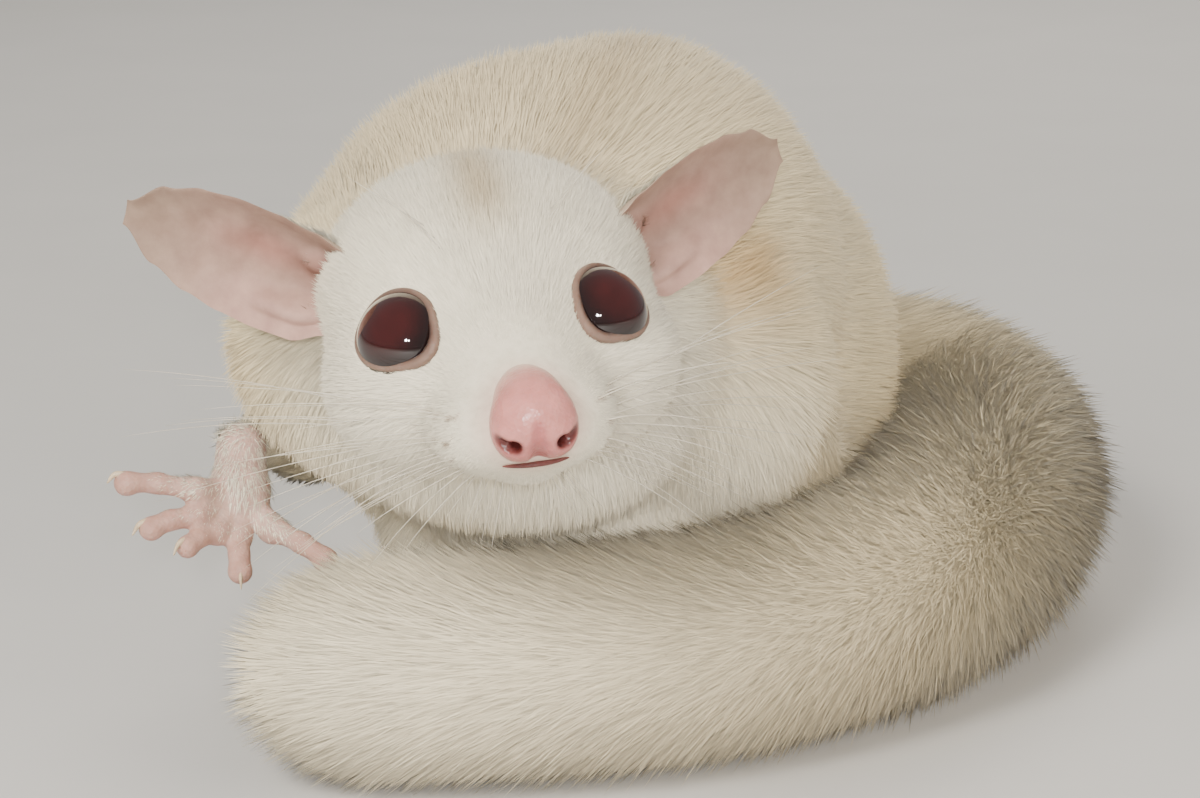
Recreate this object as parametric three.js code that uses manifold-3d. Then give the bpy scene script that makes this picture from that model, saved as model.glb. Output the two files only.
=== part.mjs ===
// Sugar glider, a still, life-size model in millimetres: +Z up, the animal faces -Y and its left side is +X.
// The origin is on the floor, in the middle of the flat that the belly rests on.
import * as THREE from "three";
import { mergeVertices } from "three/addons/utils/BufferGeometryUtils.js";
import Module from "manifold-3d";

const wasm = await Module();
wasm.setup();

// Driving dimensions
const GAP = 0.36; // left between parts that touch
const DEG = Math.PI / 180;
const V = (x, y, z) => new THREE.Vector3(x, y, z);

const head = {
  eyes: V(-9.4, -55, 55), // midway between the two eye openings
  yaw: 10.5 * DEG, // turned to its left
  pitch: -3 * DEG, // nose a little low
  roll: 5 * DEG, // left side up
  halfWidth: 17.7,
  top: 10.8, // crown above the eye line
};
const eye = { radius: 4.8, shown: 3.85, across: 6.2, behind: 4, drop: 1.6, lidThick: 0.75, mound: 0.6 };
const nose = { reach: 15.7, drop: 6.0, deep: 3.1, wide: 3.9, tall: 3.6 };
const ear = { thick: 0.9, cup: 4.2 };
const trunk = { topOfBack: 71, blend: 2.6 };
const tail = { coat: 13.2 }; // half-width of the brush, out to the tips of its hair

// Colours from the photograph
const coatWhite = new THREE.MeshStandardMaterial({ color: 0xe9e3d2, roughness: 0.95, metalness: 0 });
const coatCream = new THREE.MeshStandardMaterial({ color: 0xdccda6, roughness: 0.95, metalness: 0 });
const barePink = new THREE.MeshStandardMaterial({ color: 0xe2b3a6, roughness: 0.6, metalness: 0 });
const nosePink = new THREE.MeshStandardMaterial({ color: 0xd78f88, roughness: 0.4, metalness: 0 });
const eyeRuby = new THREE.MeshStandardMaterial({ color: 0x2a0a0c, roughness: 0.05, metalness: 0 });

// Solids: a closed three.js geometry as a manifold, and back
const solid = (geometry) => {
  const bare = new THREE.BufferGeometry().setAttribute("position", geometry.getAttribute("position"));
  bare.setIndex(geometry.getIndex());
  const merged = mergeVertices(bare, 1e-4);
  const made = new wasm.Manifold(
    new wasm.Mesh({
      numProp: 3,
      vertProperties: new Float32Array(merged.attributes.position.array),
      triVerts: new Uint32Array(merged.index.array),
    }),
  );
  if (made.volume() < 0) throw new Error("a shape is inside out");
  return made;
};

const largest = (made) => made.decompose().sort((a, b) => b.volume() - a.volume())[0];

const geometryOf = (made) => {
  const mesh = made.getMesh();
  const geometry = new THREE.BufferGeometry();
  geometry.setAttribute("position", new THREE.BufferAttribute(mesh.vertProperties.slice(), 3));
  geometry.setIndex(new THREE.BufferAttribute(mesh.triVerts.slice(), 1));
  return geometry;
};

const join = (solids) => solids.reduce((a, b) => a.add(b));
const cut = (made, cutters) => cutters.reduce((a, b) => a.subtract(b), made);

// Fields: the distance from a point to a smooth blend of egg shapes and tapered bars, negative inside
const egg = (centre, rx, ry, rz) => (p) => {
  const x = p.x - centre.x;
  const y = p.y - centre.y;
  const z = p.z - centre.z;
  const near = Math.hypot(x / rx, y / ry, z / rz);
  const slope = Math.hypot(x / (rx * rx), y / (ry * ry), z / (rz * rz));
  return slope < 1e-9 ? -Math.min(rx, ry, rz) : (near * (near - 1)) / slope;
};

const bar = (from, to, r0, r1) => {
  const along = to.clone().sub(from);
  const span = along.lengthSq();
  return (p) => {
    const q = p.clone().sub(from);
    const t = THREE.MathUtils.clamp(q.dot(along) / span, 0, 1);
    return q.addScaledVector(along, -t).length() - THREE.MathUtils.lerp(r0, r1, t);
  };
};

const blend = (fields, softness) => (p) =>
  -softness * Math.log(fields.reduce((sum, f) => sum + Math.exp(-f(p) / softness), 0));

// A closed skin: a sphere's grid, strung along a line and moved out to where the field is zero
const wrap = (field, from, to, sides, rings, grow = 0) => {
  const geometry = new THREE.SphereGeometry(1, sides, rings);
  const place = geometry.getAttribute("position");
  const along = to.clone().sub(from).normalize();
  const side = new THREE.Vector3().crossVectors(along, V(0, 0, 1)).normalize();
  const up = new THREE.Vector3().crossVectors(side, along);
  const step = 0.5;
  for (let i = 0; i < place.count; i++) {
    const v = new THREE.Vector3().fromBufferAttribute(place, i);
    const base = from.clone().lerp(to, (1 + v.y) / 2);
    const way = V(0, 0, 0).addScaledVector(along, v.y).addScaledVector(side, v.x).addScaledVector(up, v.z);
    way.normalize();
    let inside = 0;
    while (field(base.clone().addScaledVector(way, inside + step)) < grow) inside += step;
    let outside = inside + step;
    for (let k = 0; k < 18; k++) {
      const middle = (inside + outside) / 2;
      if (field(base.clone().addScaledVector(way, middle)) < grow) inside = middle;
      else outside = middle;
    }
    base.addScaledVector(way, inside);
    place.setXYZ(i, base.x, base.y, base.z);
  }
  return solid(geometry);
};

// A limb, finger or claw: a cylinder's grid, laid along a curve with its own half-width and half-height
const sweep = (curve, halfWidth, halfHeight, sides, steps, wide, stretch = 0) => {
  const geometry = new THREE.CylinderGeometry(1, 1, 1, sides, steps);
  const place = geometry.getAttribute("position");
  for (let i = 0; i < place.count; i++) {
    const t = 0.5 - place.getY(i);
    const ease = (1 - Math.cos(Math.PI * t)) / 2;
    const at = THREE.MathUtils.lerp(t, ease, 0.6);
    const beyond = at < 1e-6 ? -stretch : at > 1 - 1e-6 ? stretch : 0;
    const tangent = curve.getTangentAt(at);
    const across = wide.clone().addScaledVector(tangent, -wide.dot(tangent)).normalize();
    const over = new THREE.Vector3().crossVectors(tangent, across);
    const point = curve.getPointAt(at).addScaledVector(tangent, beyond);
    point.addScaledVector(across, place.getX(i) * halfWidth(at));
    point.addScaledVector(over, place.getZ(i) * halfHeight(at));
    place.setXYZ(i, point.x, point.y, point.z);
  }
  return solid(geometry);
};

const curveOf = (...points) => new THREE.CatmullRomCurve3(points, false, "centripetal");

// Reads a profile, a short list of values spread evenly from the start to the end
const profile = (values) => (t) => {
  const at = THREE.MathUtils.clamp(t, 0, 1) * (values.length - 1);
  const i = Math.min(Math.floor(at), values.length - 2);
  const s = at - i;
  const smooth = s * s * (3 - 2 * s);
  return THREE.MathUtils.lerp(values[i], values[i + 1], smooth);
};

const block = (x0, x1, y0, y1, z0, z1) =>
  solid(new THREE.BoxGeometry(x1 - x0, y1 - y0, z1 - z0).translate((x0 + x1) / 2, (y0 + y1) / 2, (z0 + z1) / 2));
const underFloor = block(-200, 200, -200, 200, -60, 0);

// The head's own frame: x forwards along the snout, y to the animal's left, z up, from between the eyes
const headFrame = new THREE.Group();
{
  const forward = V(
    Math.sin(head.yaw) * Math.cos(head.pitch),
    -Math.cos(head.yaw) * Math.cos(head.pitch),
    Math.sin(head.pitch),
  );
  const level = V(Math.cos(head.yaw), Math.sin(head.yaw), 0);
  const over = new THREE.Vector3().crossVectors(forward, level);
  const left = level.clone().multiplyScalar(Math.cos(head.roll)).addScaledVector(over, Math.sin(head.roll));
  const up = new THREE.Vector3().crossVectors(forward, left);
  headFrame.applyMatrix4(new THREE.Matrix4().makeBasis(forward, left, up).setPosition(head.eyes));
  headFrame.updateMatrixWorld(true);
}
const inWorld = (made) => {
  const geometry = geometryOf(made).applyMatrix4(headFrame.matrix);
  return solid(geometry);
};

// Head
const headForms = () => {
  const w = head.halfWidth;
  const forms = [
    egg(V(-12.5, 0, head.top - 12.6), 13.6, w - 2, 11.8), // braincase
    bar(V(-4, 0, -5.4), V(12.6, 0, -7.2), 11.6, 4.5), // brow, cheekbones and snout
    bar(V(-5, 0, -10.4), V(8.8, 0, -11.2), 6.6, 2.8), // lower jaw
  ];
  for (const side of [-1, 1]) {
    forms.push(egg(V(-3.6, side * (w - 10.4), -7.6), 9.6, 9.6, 8.4)); // cheek
    forms.push(egg(V(9, side * 4.3, -8.6), 5.4, 4.3, 3.9)); // whisker pad and upper lip
  }
  return forms;
};
const faceField = blend(headForms(), 1.5);

// Each eyeball stands out of the face as far as its opening is wide, in a low mound
const eyeSunk = Math.sqrt(eye.radius ** 2 - eye.shown ** 2);
const eyeOpening = (side) => {
  const point = V(-eye.behind, side * eye.across, -eye.drop);
  while (faceField(point) < 0) point.addScaledVector(V(0.74, side * 0.64, 0.2).normalize(), 0.02);
  return point;
};
const eyeAxis = (side) => {
  const at = eyeOpening(side);
  const slope = (x, y, z) => faceField(at.clone().add(V(x, y, z))) - faceField(at.clone().sub(V(x, y, z)));
  return V(slope(2, 0, 0), slope(0, 2, 0), slope(0, 0, 2)).normalize();
};
const eyeCentre = (side) => eyeOpening(side).addScaledVector(eyeAxis(side), -eyeSunk);
const mound = (side) => {
  const r = eye.radius + eye.mound;
  return egg(eyeCentre(side).addScaledVector(eyeAxis(side), -eye.mound), r, r, r);
};
const headField = blend([...headForms(), mound(1), mound(-1)], 1.2);
const headSkin = (grow, sides = 32) => wrap(headField, V(-15, 0, -3), V(9, 0, -7), sides, sides * 0.85, grow);

const noseField = blend(
  [
    egg(V(nose.reach, 0, -nose.drop), nose.deep, nose.wide, nose.tall),
    egg(V(nose.reach - 2.2, 0, -nose.drop + 1.2), nose.deep, nose.wide - 0.9, nose.tall - 0.6),
  ],
  0.5,
);
const noseSkin = (grow) =>
  wrap(noseField, V(nose.reach - 1.5, 0, -nose.drop + 0.6), V(nose.reach, 0, -nose.drop), 14, 10, grow);

const eyeball = (side, grow, sides, rings) => {
  const c = eyeCentre(side);
  return solid(new THREE.SphereGeometry(eye.radius + grow, sides, rings).translate(c.x, c.y, c.z));
};

// The outline of the opening, round but drawn to a point at the corner by the nose
const eyeFrame = (side) => {
  const axis = eyeAxis(side);
  const up = V(0, 0, 1).addScaledVector(axis, -axis.z).normalize();
  const across = new THREE.Vector3().crossVectors(up, axis);
  return new THREE.Matrix4().makeBasis(across, up, axis).setPosition(eyeCentre(side));
};
const reachAt = (side, turn) => {
  const fromTemple = Math.atan2(Math.sin(turn), side * Math.cos(turn));
  const corner = Math.max(0, -Math.cos(fromTemple - 0.35)) ** 6;
  return eye.shown * (1 + 0.24 * corner);
};
const rimPoint = (side, turn, margin) => {
  const reach = reachAt(side, turn) + margin;
  return V(reach * Math.cos(turn), 0.95 * reach * Math.sin(turn), 0);
};
const opening = (side) => {
  const outline = [];
  for (let i = 0; i < 18; i++) outline.push(rimPoint(side, (i / 18) * 2 * Math.PI, 0));
  const through = new THREE.ExtrudeGeometry(new THREE.Shape(outline), { depth: 12, bevelEnabled: false });
  return solid(through.applyMatrix4(eyeFrame(side)));
};

// The lids: a soft rim that follows the skin round the opening
const lids = (side) => {
  const rim = new THREE.TorusGeometry(1, eye.lidThick / 2, 6, 20);
  const place = rim.getAttribute("position");
  for (let i = 0; i < place.count; i++) {
    const v = new THREE.Vector3().fromBufferAttribute(place, i);
    const turn = Math.atan2(v.y, v.x);
    const out = 2 * (Math.hypot(v.x, v.y) - 1);
    const skin = rimPoint(side, turn, 0.4).applyMatrix4(eyeFrame(side));
    while (headField(skin) < 0) skin.addScaledVector(eyeAxis(side), 0.02);
    const deep = skin.applyMatrix4(eyeFrame(side).invert()).z;
    const p = rimPoint(side, turn, 0.4 + out).setZ(deep + 2 * v.z);
    place.setXYZ(i, p.x, p.y, p.z);
  }
  return solid(rim.applyMatrix4(eyeFrame(side)));
};

// The line of the mouth, a groove under the lips on both sides
const mouthCurve = () => {
  const points = [];
  for (let i = -6; i <= 6; i++) {
    const share = Math.abs(i) / 6;
    const reach = 15.4 - 6 * share ** 1.5;
    const aside = Math.sign(i) * 5.4 * share;
    const low = -10.2 - 0.5 * share;
    const from = V(reach - 4 * (1 - share), aside * 0.3, low);
    const way = V(reach, aside, low).sub(from).normalize();
    const p = from.clone();
    while (headField(p) < -0.1) p.addScaledVector(way, 0.1);
    points.push(p);
  }
  return curveOf(...points);
};
const mouthLine = () => sweep(mouthCurve(), () => 0.32, () => 0.55, 4, 18, V(0, 0, 1));

const makeHead = () => {
  let made = headSkin(0);
  for (const side of [-1, 1]) made = made.subtract(opening(side)).add(lids(side));
  for (const side of [-1, 1]) made = made.subtract(eyeball(side, GAP, 18, 12));
  made = made.subtract(noseSkin(GAP)).subtract(mouthLine());
  return largest(made);
};

const makeNose = () => {
  let made = noseSkin(0);
  const crease = sweep(
    curveOf(V(20, 0, -4.6), V(19.4, 0, -7.4), V(17.4, 0, -9.4), V(15.4, 0, -10.6)),
    () => 0.28,
    () => 1.15,
    4,
    5,
    V(0, 1, 0),
  );
  made = made.subtract(crease);
  for (const side of [-1, 1]) {
    const nostril = sweep(
      curveOf(V(17.0, side * 1.5, -6.6), V(18.0, side * 2.2, -7.0), V(18.1, side * 3.3, -6.4)),
      profile([0.25, 0.62, 0.5, 0.25]),
      profile([0.8, 1.2, 1.0, 0.6]),
      6,
      4,
      V(0, 0, 1),
    );
    made = made.subtract(nostril);
  }
  return largest(made);
};

// Ears: a cupped sheet, split into triangles alike on both faces
const earUpper = profile([4.2, 5.2, 5.8, 6.0, 5.6, 4.4, 1.4]);
const earLower = profile([5.4, 7.2, 7.2, 6.8, 6.0, 4.4, 1.4]);

const sheet = (across, along, pointAt, thickAt) => {
  const positions = [];
  const index = [];
  const row = across + 1;
  const face = row * (along + 1);
  const at = (i, j) => pointAt(i / across, j / along);
  for (const side of [1, -1])
    for (let j = 0; j <= along; j++)
      for (let i = 0; i <= across; i++) {
        const p = at(i, j);
        const du = at(i + 0.5, j).sub(at(i - 0.5, j));
        const dv = at(i, j + 0.5).sub(at(i, j - 0.5));
        const normal = du.cross(dv).normalize();
        p.addScaledVector(normal, (side * thickAt(i / across, j / along, side)) / 2);
        positions.push(p.x, p.y, p.z);
      }
  for (let j = 0; j < along; j++)
    for (let i = 0; i < across; i++) {
      const a = j * row + i;
      index.push(a, a + 1, a + row + 1, a, a + row + 1, a + row);
      index.push(face + a, face + a + row + 1, face + a + 1, face + a, face + a + row, face + a + row + 1);
    }
  const rim = (a, b) => index.push(a, face + b, b, a, face + a, face + b);
  for (let i = 0; i < across; i++) {
    rim(i, i + 1);
    rim(along * row + i + 1, along * row + i);
  }
  for (let j = 0; j < along; j++) {
    rim((j + 1) * row, j * row);
    rim(j * row + across, (j + 1) * row + across);
  }
  const geometry = new THREE.BufferGeometry();
  geometry.setAttribute("position", new THREE.Float32BufferAttribute(positions, 3));
  geometry.setIndex(index);
  const made = new wasm.Manifold(
    new wasm.Mesh({
      numProp: 3,
      vertProperties: new Float32Array(positions),
      triVerts: new Uint32Array(index),
    }),
  );
  return made.volume() < 0 ? solid(geometryOf(made).scale(-1, 1, 1)).mirror([1, 0, 0]) : made;
};

const earRoot = (side) => V(-13, side * 13.4, 0.6);
const earTip = (side) => (side > 0 ? V(-22, 31.4, 6.6) : V(-22, -32.8, 8.6));

const makeEar = (side) => {
  const root = earRoot(side);
  const axis = earTip(side).sub(root);
  const length = axis.length();
  axis.normalize();
  const facing = V(0.86, side * 0.5, -0.08);
  facing.addScaledVector(axis, -facing.dot(axis)).normalize();
  const width = new THREE.Vector3().crossVectors(facing, axis).multiplyScalar(side);
  const pointAt = (u, v) => {
    const s = -0.06 + 1.06 * v;
    const upper = earUpper(s);
    const lower = earLower(s);
    const w = THREE.MathUtils.lerp(-lower, upper, u);
    const share = 2 * u - 1;
    const curl = 1 - Math.min(1, Math.abs(share)) ** 2.2;
    const deep = ear.cup * (1 - 0.72 * s) * curl * Math.sqrt(Math.max(0.04, 1 - Math.max(0, s) ** 4));
    return root
      .clone()
      .addScaledVector(axis, s * length)
      .addScaledVector(width, w)
      .addScaledVector(facing, 2.4 - deep + 1.2 * s * (1 - s));
  };
  const thickAt = (u, v) => ear.thick + 0.9 * Math.max(0, 0.35 - v) + 0.35 * Math.sin(7 * Math.PI * u) ** 2 * Math.max(0, 0.5 - v);
  const made = sheet(10, 11, pointAt, thickAt);
  return largest(made.subtract(headSkin(GAP * 1.2)));
};

// Neck with its ruff, from the trunk to the back of the skull
const neckField = blend(
  [
    egg(V(-14, -23.5, 43), 25.6, 14, 17.5),
    bar(V(-9.5, -22, 44), V(-11.2, -40, 50), 17, 14.5),
    egg(V(-8.5, -30, 37), 17, 13, 12),
  ],
  2.2,
);
const neckSkin = (grow) => wrap(neckField, V(-10, -18, 40), V(-11, -34, 46), 22, 14, grow);

// Trunk: chest, arched back, rump and belly, with the swell of the shoulders and haunches
const trunkForms = [
  egg(V(-8, -12, 38), 22, 20, 21),
  egg(V(-5.5, 0, 43), 29, 22, 26.5),
  egg(V(3, 11, trunk.topOfBack - 29), 25, 27, 28.2),
  egg(V(12, 31, 32), 22.5, 22, 24.5),
  egg(V(1, 3, 17), 21.5, 30, 19),
  egg(V(-25.2, -10, 42), 11, 12, 15),
  egg(V(13, -13, 36), 10.5, 12, 14),
  egg(V(-13, 27, 24), 13, 19, 19),
  egg(V(24.5, 25, 26), 11, 18, 19),
];
const trunkField = blend(trunkForms, trunk.blend);
const trunkSkin = (grow) => wrap(trunkField, V(-6, -8, 37), V(13, 32, 32), 28, 24, grow);

// Limbs: the forms of each, and the line that its skin is strung along
const limbs = {
  arm_right: {
    forms: [bar(V(-25, -7, 38), V(-33.4, -2.5, 28), 9, 6), bar(V(-33.4, -2.5, 28), V(-38.7, -20.6, 30.6), 5.8, 2.8)],
    line: [V(-32.5, -4, 29.5), V(-37.4, -16.5, 30)],
  },
  arm_left: {
    forms: [bar(V(14, -12, 34), V(20.5, -5, 20), 10, 6.8), bar(V(20.5, -5, 20), V(13.5, -8.4, 6), 5.6, 2.8)],
    line: [V(19, -6.5, 22), V(15.2, -7.6, 9.5)],
  },
  leg_right: {
    forms: [egg(V(-18.5, 18, 16), 8.8, 13, 10.5), bar(V(-21, 10.5, 11), V(-19, 29.4, 5.8), 5.6, 3)],
    line: [V(-19.6, 14.5, 13), V(-19.3, 25, 8)],
  },
  leg_left: {
    forms: [egg(V(24, 14, 16), 8.6, 12, 11), bar(V(26, 7, 11), V(26.2, 23.6, 5.8), 5.4, 3)],
    line: [V(25, 11.5, 13), V(26, 19.5, 8)],
  },
};
const limbSkin = (name, grow) => wrap(blend(limbs[name].forms, 1), ...limbs[name].line, 16, 13, grow);

// Hands and feet: a palm and its digits, each with a claw, but none on the big toe
const digit = (root, knuckle, tip, thick, clawLength) => {
  const line = curveOf(root, knuckle, tip);
  const wide = profile([1, 0.92, 1, 1.12, 0.7].map((v) => v * thick));
  const tall = profile([1, 0.9, 0.95, 1, 0.6].map((v) => v * thick));
  const made = [sweep(line, tall, wide, 6, 4, V(0, 0, 1))];
  if (clawLength > 0) {
    const way = tip.clone().sub(knuckle).normalize();
    const start = tip.clone().addScaledVector(way, -thick * 0.8).addScaledVector(V(0, 0, 1), thick * 0.35);
    const middle = start.clone().addScaledVector(way, clawLength * 0.7).addScaledVector(V(0, 0, 1), 0.15);
    const end = start.clone().addScaledVector(way, clawLength * 1.2).addScaledVector(V(0, 0, -1), clawLength * 0.55);
    const hook = curveOf(start, middle, end);
    made.push(sweep(hook, profile([0.6, 0.5, 0.34, 0.12]), profile([0.42, 0.38, 0.28, 0.12]), 4, 3, V(0, 0, 1)));
  }
  return join(made);
};

const palm = (centre, rx, ry, rz, turn) =>
  solid(new THREE.SphereGeometry(1, 12, 8).scale(rx, ry, rz).rotateZ(turn).translate(centre.x, centre.y, centre.z));

const paws = {
  // centre of the palm, its half-sizes and turn, and each digit's knuckle, tip, half-thickness and claw
  hand_right: {
    palm: [V(-38.6, -24.4, 26.8), 3.5, 3.6, 3.9, 0],
    digits: [
      [V(-42.8, -29.2, 28.6), V(-50.2, -31.5, 30.2), 1.35, 1.9],
      [V(-42.6, -30.2, 26), V(-47.6, -32.8, 25.4), 1.3, 1.9],
      [V(-40.6, -29.8, 24), V(-43.6, -33.6, 23.6), 1.2, 1.8],
      [V(-38.4, -28.6, 23), V(-37.8, -32.6, 20.2), 1.35, 1.9],
      [V(-34.6, -27.6, 23.6), V(-28.4, -31.6, 21.4), 1.4, 1.9],
    ],
  },
  hand_left: {
    palm: [V(12.8, -9.6, 2.7), 3.5, 4.2, 3.1, 0],
    digits: [
      [V(10, -10.6, 2.1), V(7.2, -11.6, 1), 1.25, 1.4],
      [V(10.2, -12.6, 2.4), V(8.0, -15.4, 1), 1.3, 1.5],
      [V(12.4, -13.4, 2.5), V(11.6, -16.6, 1), 1.3, 1.4],
      [V(14.6, -13.0, 2.4), V(15.8, -15.6, 1), 1.3, 1.4],
      [V(16, -10.6, 2.1), V(19.2, -12.2, 1), 1.25, 1.4],
    ],
  },
  foot_right: {
    palm: [V(-19.6, 24, 2.6), 4.1, 8.6, 3, 0.1],
    digits: [
      [V(-15.6, 20.5, 2.1), V(-11.6, 16.6, 1.2), 1.6, 0],
      [V(-19.2, 15.2, 2.5), V(-18.2, 9.4, 1), 1.25, 1.6],
      [V(-20.6, 15.2, 2.5), V(-20.8, 9.2, 1), 1.25, 1.6],
      [V(-22.4, 15.6, 2.5), V(-24.6, 8.6, 1.1), 1.4, 1.8],
      [V(-23.6, 17.6, 2.4), V(-28.4, 12, 1.1), 1.4, 1.8],
    ],
  },
  foot_left: {
    palm: [V(26.2, 17.6, 2.6), 3.8, 8.4, 3, -0.05],
    digits: [
      [V(22.6, 14, 2.1), V(19.2, 10.4, 1.2), 1.6, 0],
      [V(25.4, 9.2, 2.5), V(24.4, 3.6, 1), 1.25, 1.6],
      [V(26.8, 9.0, 2.5), V(27, 3.2, 1), 1.25, 1.6],
      [V(28.2, 9.4, 2.5), V(29.4, 3.4, 1.1), 1.4, 1.6],
      [V(28.8, 11, 2.4), V(31.4, 6, 1.1), 1.35, 1.5],
    ],
  },
};

const pawSkin = (name) => {
  const paw = paws[name];
  const [centre] = paw.palm;
  const made = [palm(...paw.palm)];
  for (const [knuckle, tip, thick, claw] of paw.digits) {
    const root = centre.clone().lerp(knuckle, 0.35);
    made.push(digit(root, knuckle, tip, thick, claw));
  }
  return join(made);
};

// Gliding membrane, a loose furred fold along each flank from the forearm to the shin
const folds = {
  patagium_right: {
    forms: [bar(V(-25, -3, 28), V(-20, 20, 19), 4.6, 4.6), bar(V(-32.5, 0, 23.5), V(-27, 15, 15.5), 2.4, 2.6)],
    line: [V(-28, 1, 24.5), V(-24, 15.5, 18)],
  },
  patagium_left: {
    forms: [bar(V(22, -3, 25), V(25, 22, 23), 4.8, 4.8), bar(V(27, -1, 19), V(30, 16, 20), 2.4, 2.6)],
    line: [V(24.5, 1, 22), V(27, 16, 21)],
  },
};
const foldSkin = (name) => wrap(blend(folds[name].forms, 1), ...folds[name].line, 16, 12);

// Tail, laid on the floor round the left side and across in front of the chest
const tailLine = curveOf(
  V(20, 46, 22),
  V(32, 50, 19.5),
  V(43.5, 42, 17),
  V(46.5, 24, 15),
  V(42.5, 4, 13.8),
  V(32.5, -15, 13),
  V(16, -29.5, 12.6),
  V(-4, -37, 12.3),
  V(-31.5, -39, 12),
);
const tailLength = tailLine.getLength();
const coatAt = profile([0.7, 1.02, 1.18, 1.16, 1.06, 1, 0.97, 0.96, 0.95]);
const tailCuts = [0, 0.25, 0.44, 0.63, 0.82, 1];

// A length of the tail, out to the outside of its coat
const tailForm = (t0, t1, grow) => {
  const stretch = {
    getPointAt: (s) => tailLine.getPointAt(THREE.MathUtils.lerp(t0, t1, s)),
    getTangentAt: (s) => tailLine.getTangentAt(THREE.MathUtils.lerp(t0, t1, s)),
  };
  const closing = (t) => Math.sqrt(Math.max(0.04, 1 - Math.max(0, (t - 0.91) / 0.09) ** 2));
  const r = (s) => {
    const t = THREE.MathUtils.lerp(t0, t1, s);
    return tail.coat * coatAt(t) * closing(t) + grow;
  };
  return sweep(stretch, r, r, 14, Math.ceil((t1 - t0) * 30), V(0, 0, 1));
};

const makeTail = (k) => {
  const inset = (0.9 * GAP) / tailLength;
  const t0 = tailCuts[k] + (k > 0 ? inset : 0);
  const last = k === tailCuts.length - 2;
  return tailForm(t0, tailCuts[k + 1] - (last ? 0 : inset), 0);
};

// The animal, one named mesh for each part
const glider = new THREE.Group();
const add = (parent, name, made, material) => {
  const geometry = geometryOf(made).applyMatrix4(parent.matrix);
  const place = geometry.getAttribute("position");
  for (let i = 0; i < place.array.length; i++) place.array[i] = Math.round(place.array[i] * 1000) / 1000;
  const whole = geometryOf(largest(solid(geometry)));
  const mesh = new THREE.Mesh(whole.applyMatrix4(parent.matrix.clone().invert()), material);
  mesh.name = name;
  parent.add(mesh);
};

add(headFrame, "head", makeHead(), coatWhite);
add(headFrame, "nose", makeNose(), nosePink);
for (const [side, name] of [[1, "left"], [-1, "right"]]) {
  add(headFrame, "eye_" + name, eyeball(side, 0, 18, 12), eyeRuby);
  add(headFrame, "ear_" + name, makeEar(side), barePink);
}
glider.add(headFrame);

const trunkGrown = trunkSkin(GAP * 1.3);
const neckGrown = neckSkin(GAP);
const tailGrown = tailForm(0, 1, 2 * GAP);
const headGrown = inWorld(headSkin(GAP * 1.4, 24));
add(glider, "neck", cut(neckSkin(0), [headGrown, trunkGrown, tailGrown]), coatWhite);
add(glider, "torso", cut(trunkSkin(0), [headGrown, underFloor]), coatCream);

for (const name of Object.keys(limbs))
  add(glider, name, cut(limbSkin(name, 0), [trunkGrown, neckGrown, tailGrown, underFloor]), coatWhite);

const rootOf = { hand_right: "arm_right", hand_left: "arm_left", foot_right: "leg_right", foot_left: "leg_left" };
const tailNodes = [];
for (let k = 0; k < tailCuts.length - 1; k++) tailNodes.push(cut(makeTail(k), [underFloor]));

for (const [name, root] of Object.entries(rootOf))
  add(glider, name, cut(pawSkin(name), [limbSkin(root, GAP), trunkGrown, underFloor]), barePink);

const beside = {
  patagium_right: ["arm_right", "leg_right"],
  patagium_left: ["arm_left", "leg_left"],
};
for (const [name, roots] of Object.entries(beside))
  add(
    glider,
    name,
    cut(foldSkin(name), [trunkGrown, neckGrown, tailGrown, underFloor, ...roots.map((root) => limbSkin(root, GAP))]),
    coatWhite,
  );

tailNodes.forEach((made, k) => {
  add(glider, "tail_" + (k + 1), cut(made, [trunkGrown]), coatCream);
});

export default glider;
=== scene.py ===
"""A still, life-size sugar glider: skin, coat, eyes, nose, ears, hands, feet, claws and whiskers."""

import math

import bpy
import numpy as np
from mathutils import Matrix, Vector


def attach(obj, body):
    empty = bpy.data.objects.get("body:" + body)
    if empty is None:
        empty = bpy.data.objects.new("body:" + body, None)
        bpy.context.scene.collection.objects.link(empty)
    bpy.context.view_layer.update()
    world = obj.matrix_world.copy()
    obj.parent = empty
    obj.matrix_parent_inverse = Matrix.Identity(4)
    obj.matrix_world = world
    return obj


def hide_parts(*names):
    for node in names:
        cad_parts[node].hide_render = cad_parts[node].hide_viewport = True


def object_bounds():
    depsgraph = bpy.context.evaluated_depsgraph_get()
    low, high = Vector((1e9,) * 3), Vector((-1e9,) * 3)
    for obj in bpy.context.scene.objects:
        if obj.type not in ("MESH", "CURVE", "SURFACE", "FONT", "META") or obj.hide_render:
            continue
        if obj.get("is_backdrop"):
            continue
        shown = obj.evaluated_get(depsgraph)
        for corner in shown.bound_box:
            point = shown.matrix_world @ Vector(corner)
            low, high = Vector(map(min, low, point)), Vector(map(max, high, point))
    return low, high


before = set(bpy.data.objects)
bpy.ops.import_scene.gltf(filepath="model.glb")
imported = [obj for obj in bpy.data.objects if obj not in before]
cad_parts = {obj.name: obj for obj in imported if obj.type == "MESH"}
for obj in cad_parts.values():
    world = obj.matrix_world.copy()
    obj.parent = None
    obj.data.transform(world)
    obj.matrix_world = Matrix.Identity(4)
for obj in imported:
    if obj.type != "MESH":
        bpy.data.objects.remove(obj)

cad_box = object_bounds()
rng = np.random.default_rng(11)
MM = 0.001
UP = np.array([0.0, 0.0, 1.0])


def vec(*values):
    return np.array(values, dtype=float)


def unit(v):
    return v / np.maximum(np.linalg.norm(v, axis=-1, keepdims=True), 1e-9)


def smooth(edge0, edge1, x):
    t = np.clip((x - edge0) / (edge1 - edge0), 0, 1)
    return t * t * (3 - 2 * t)


def mix(a, b, share):
    return a + (b - a) * share


def tint(colour, other, share):
    return mix(colour, other, share[..., None])


def circle(count):
    return np.arange(count) / count * 2 * math.pi


# Forms of the body, in millimetres, the same sizes as the solids


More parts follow.
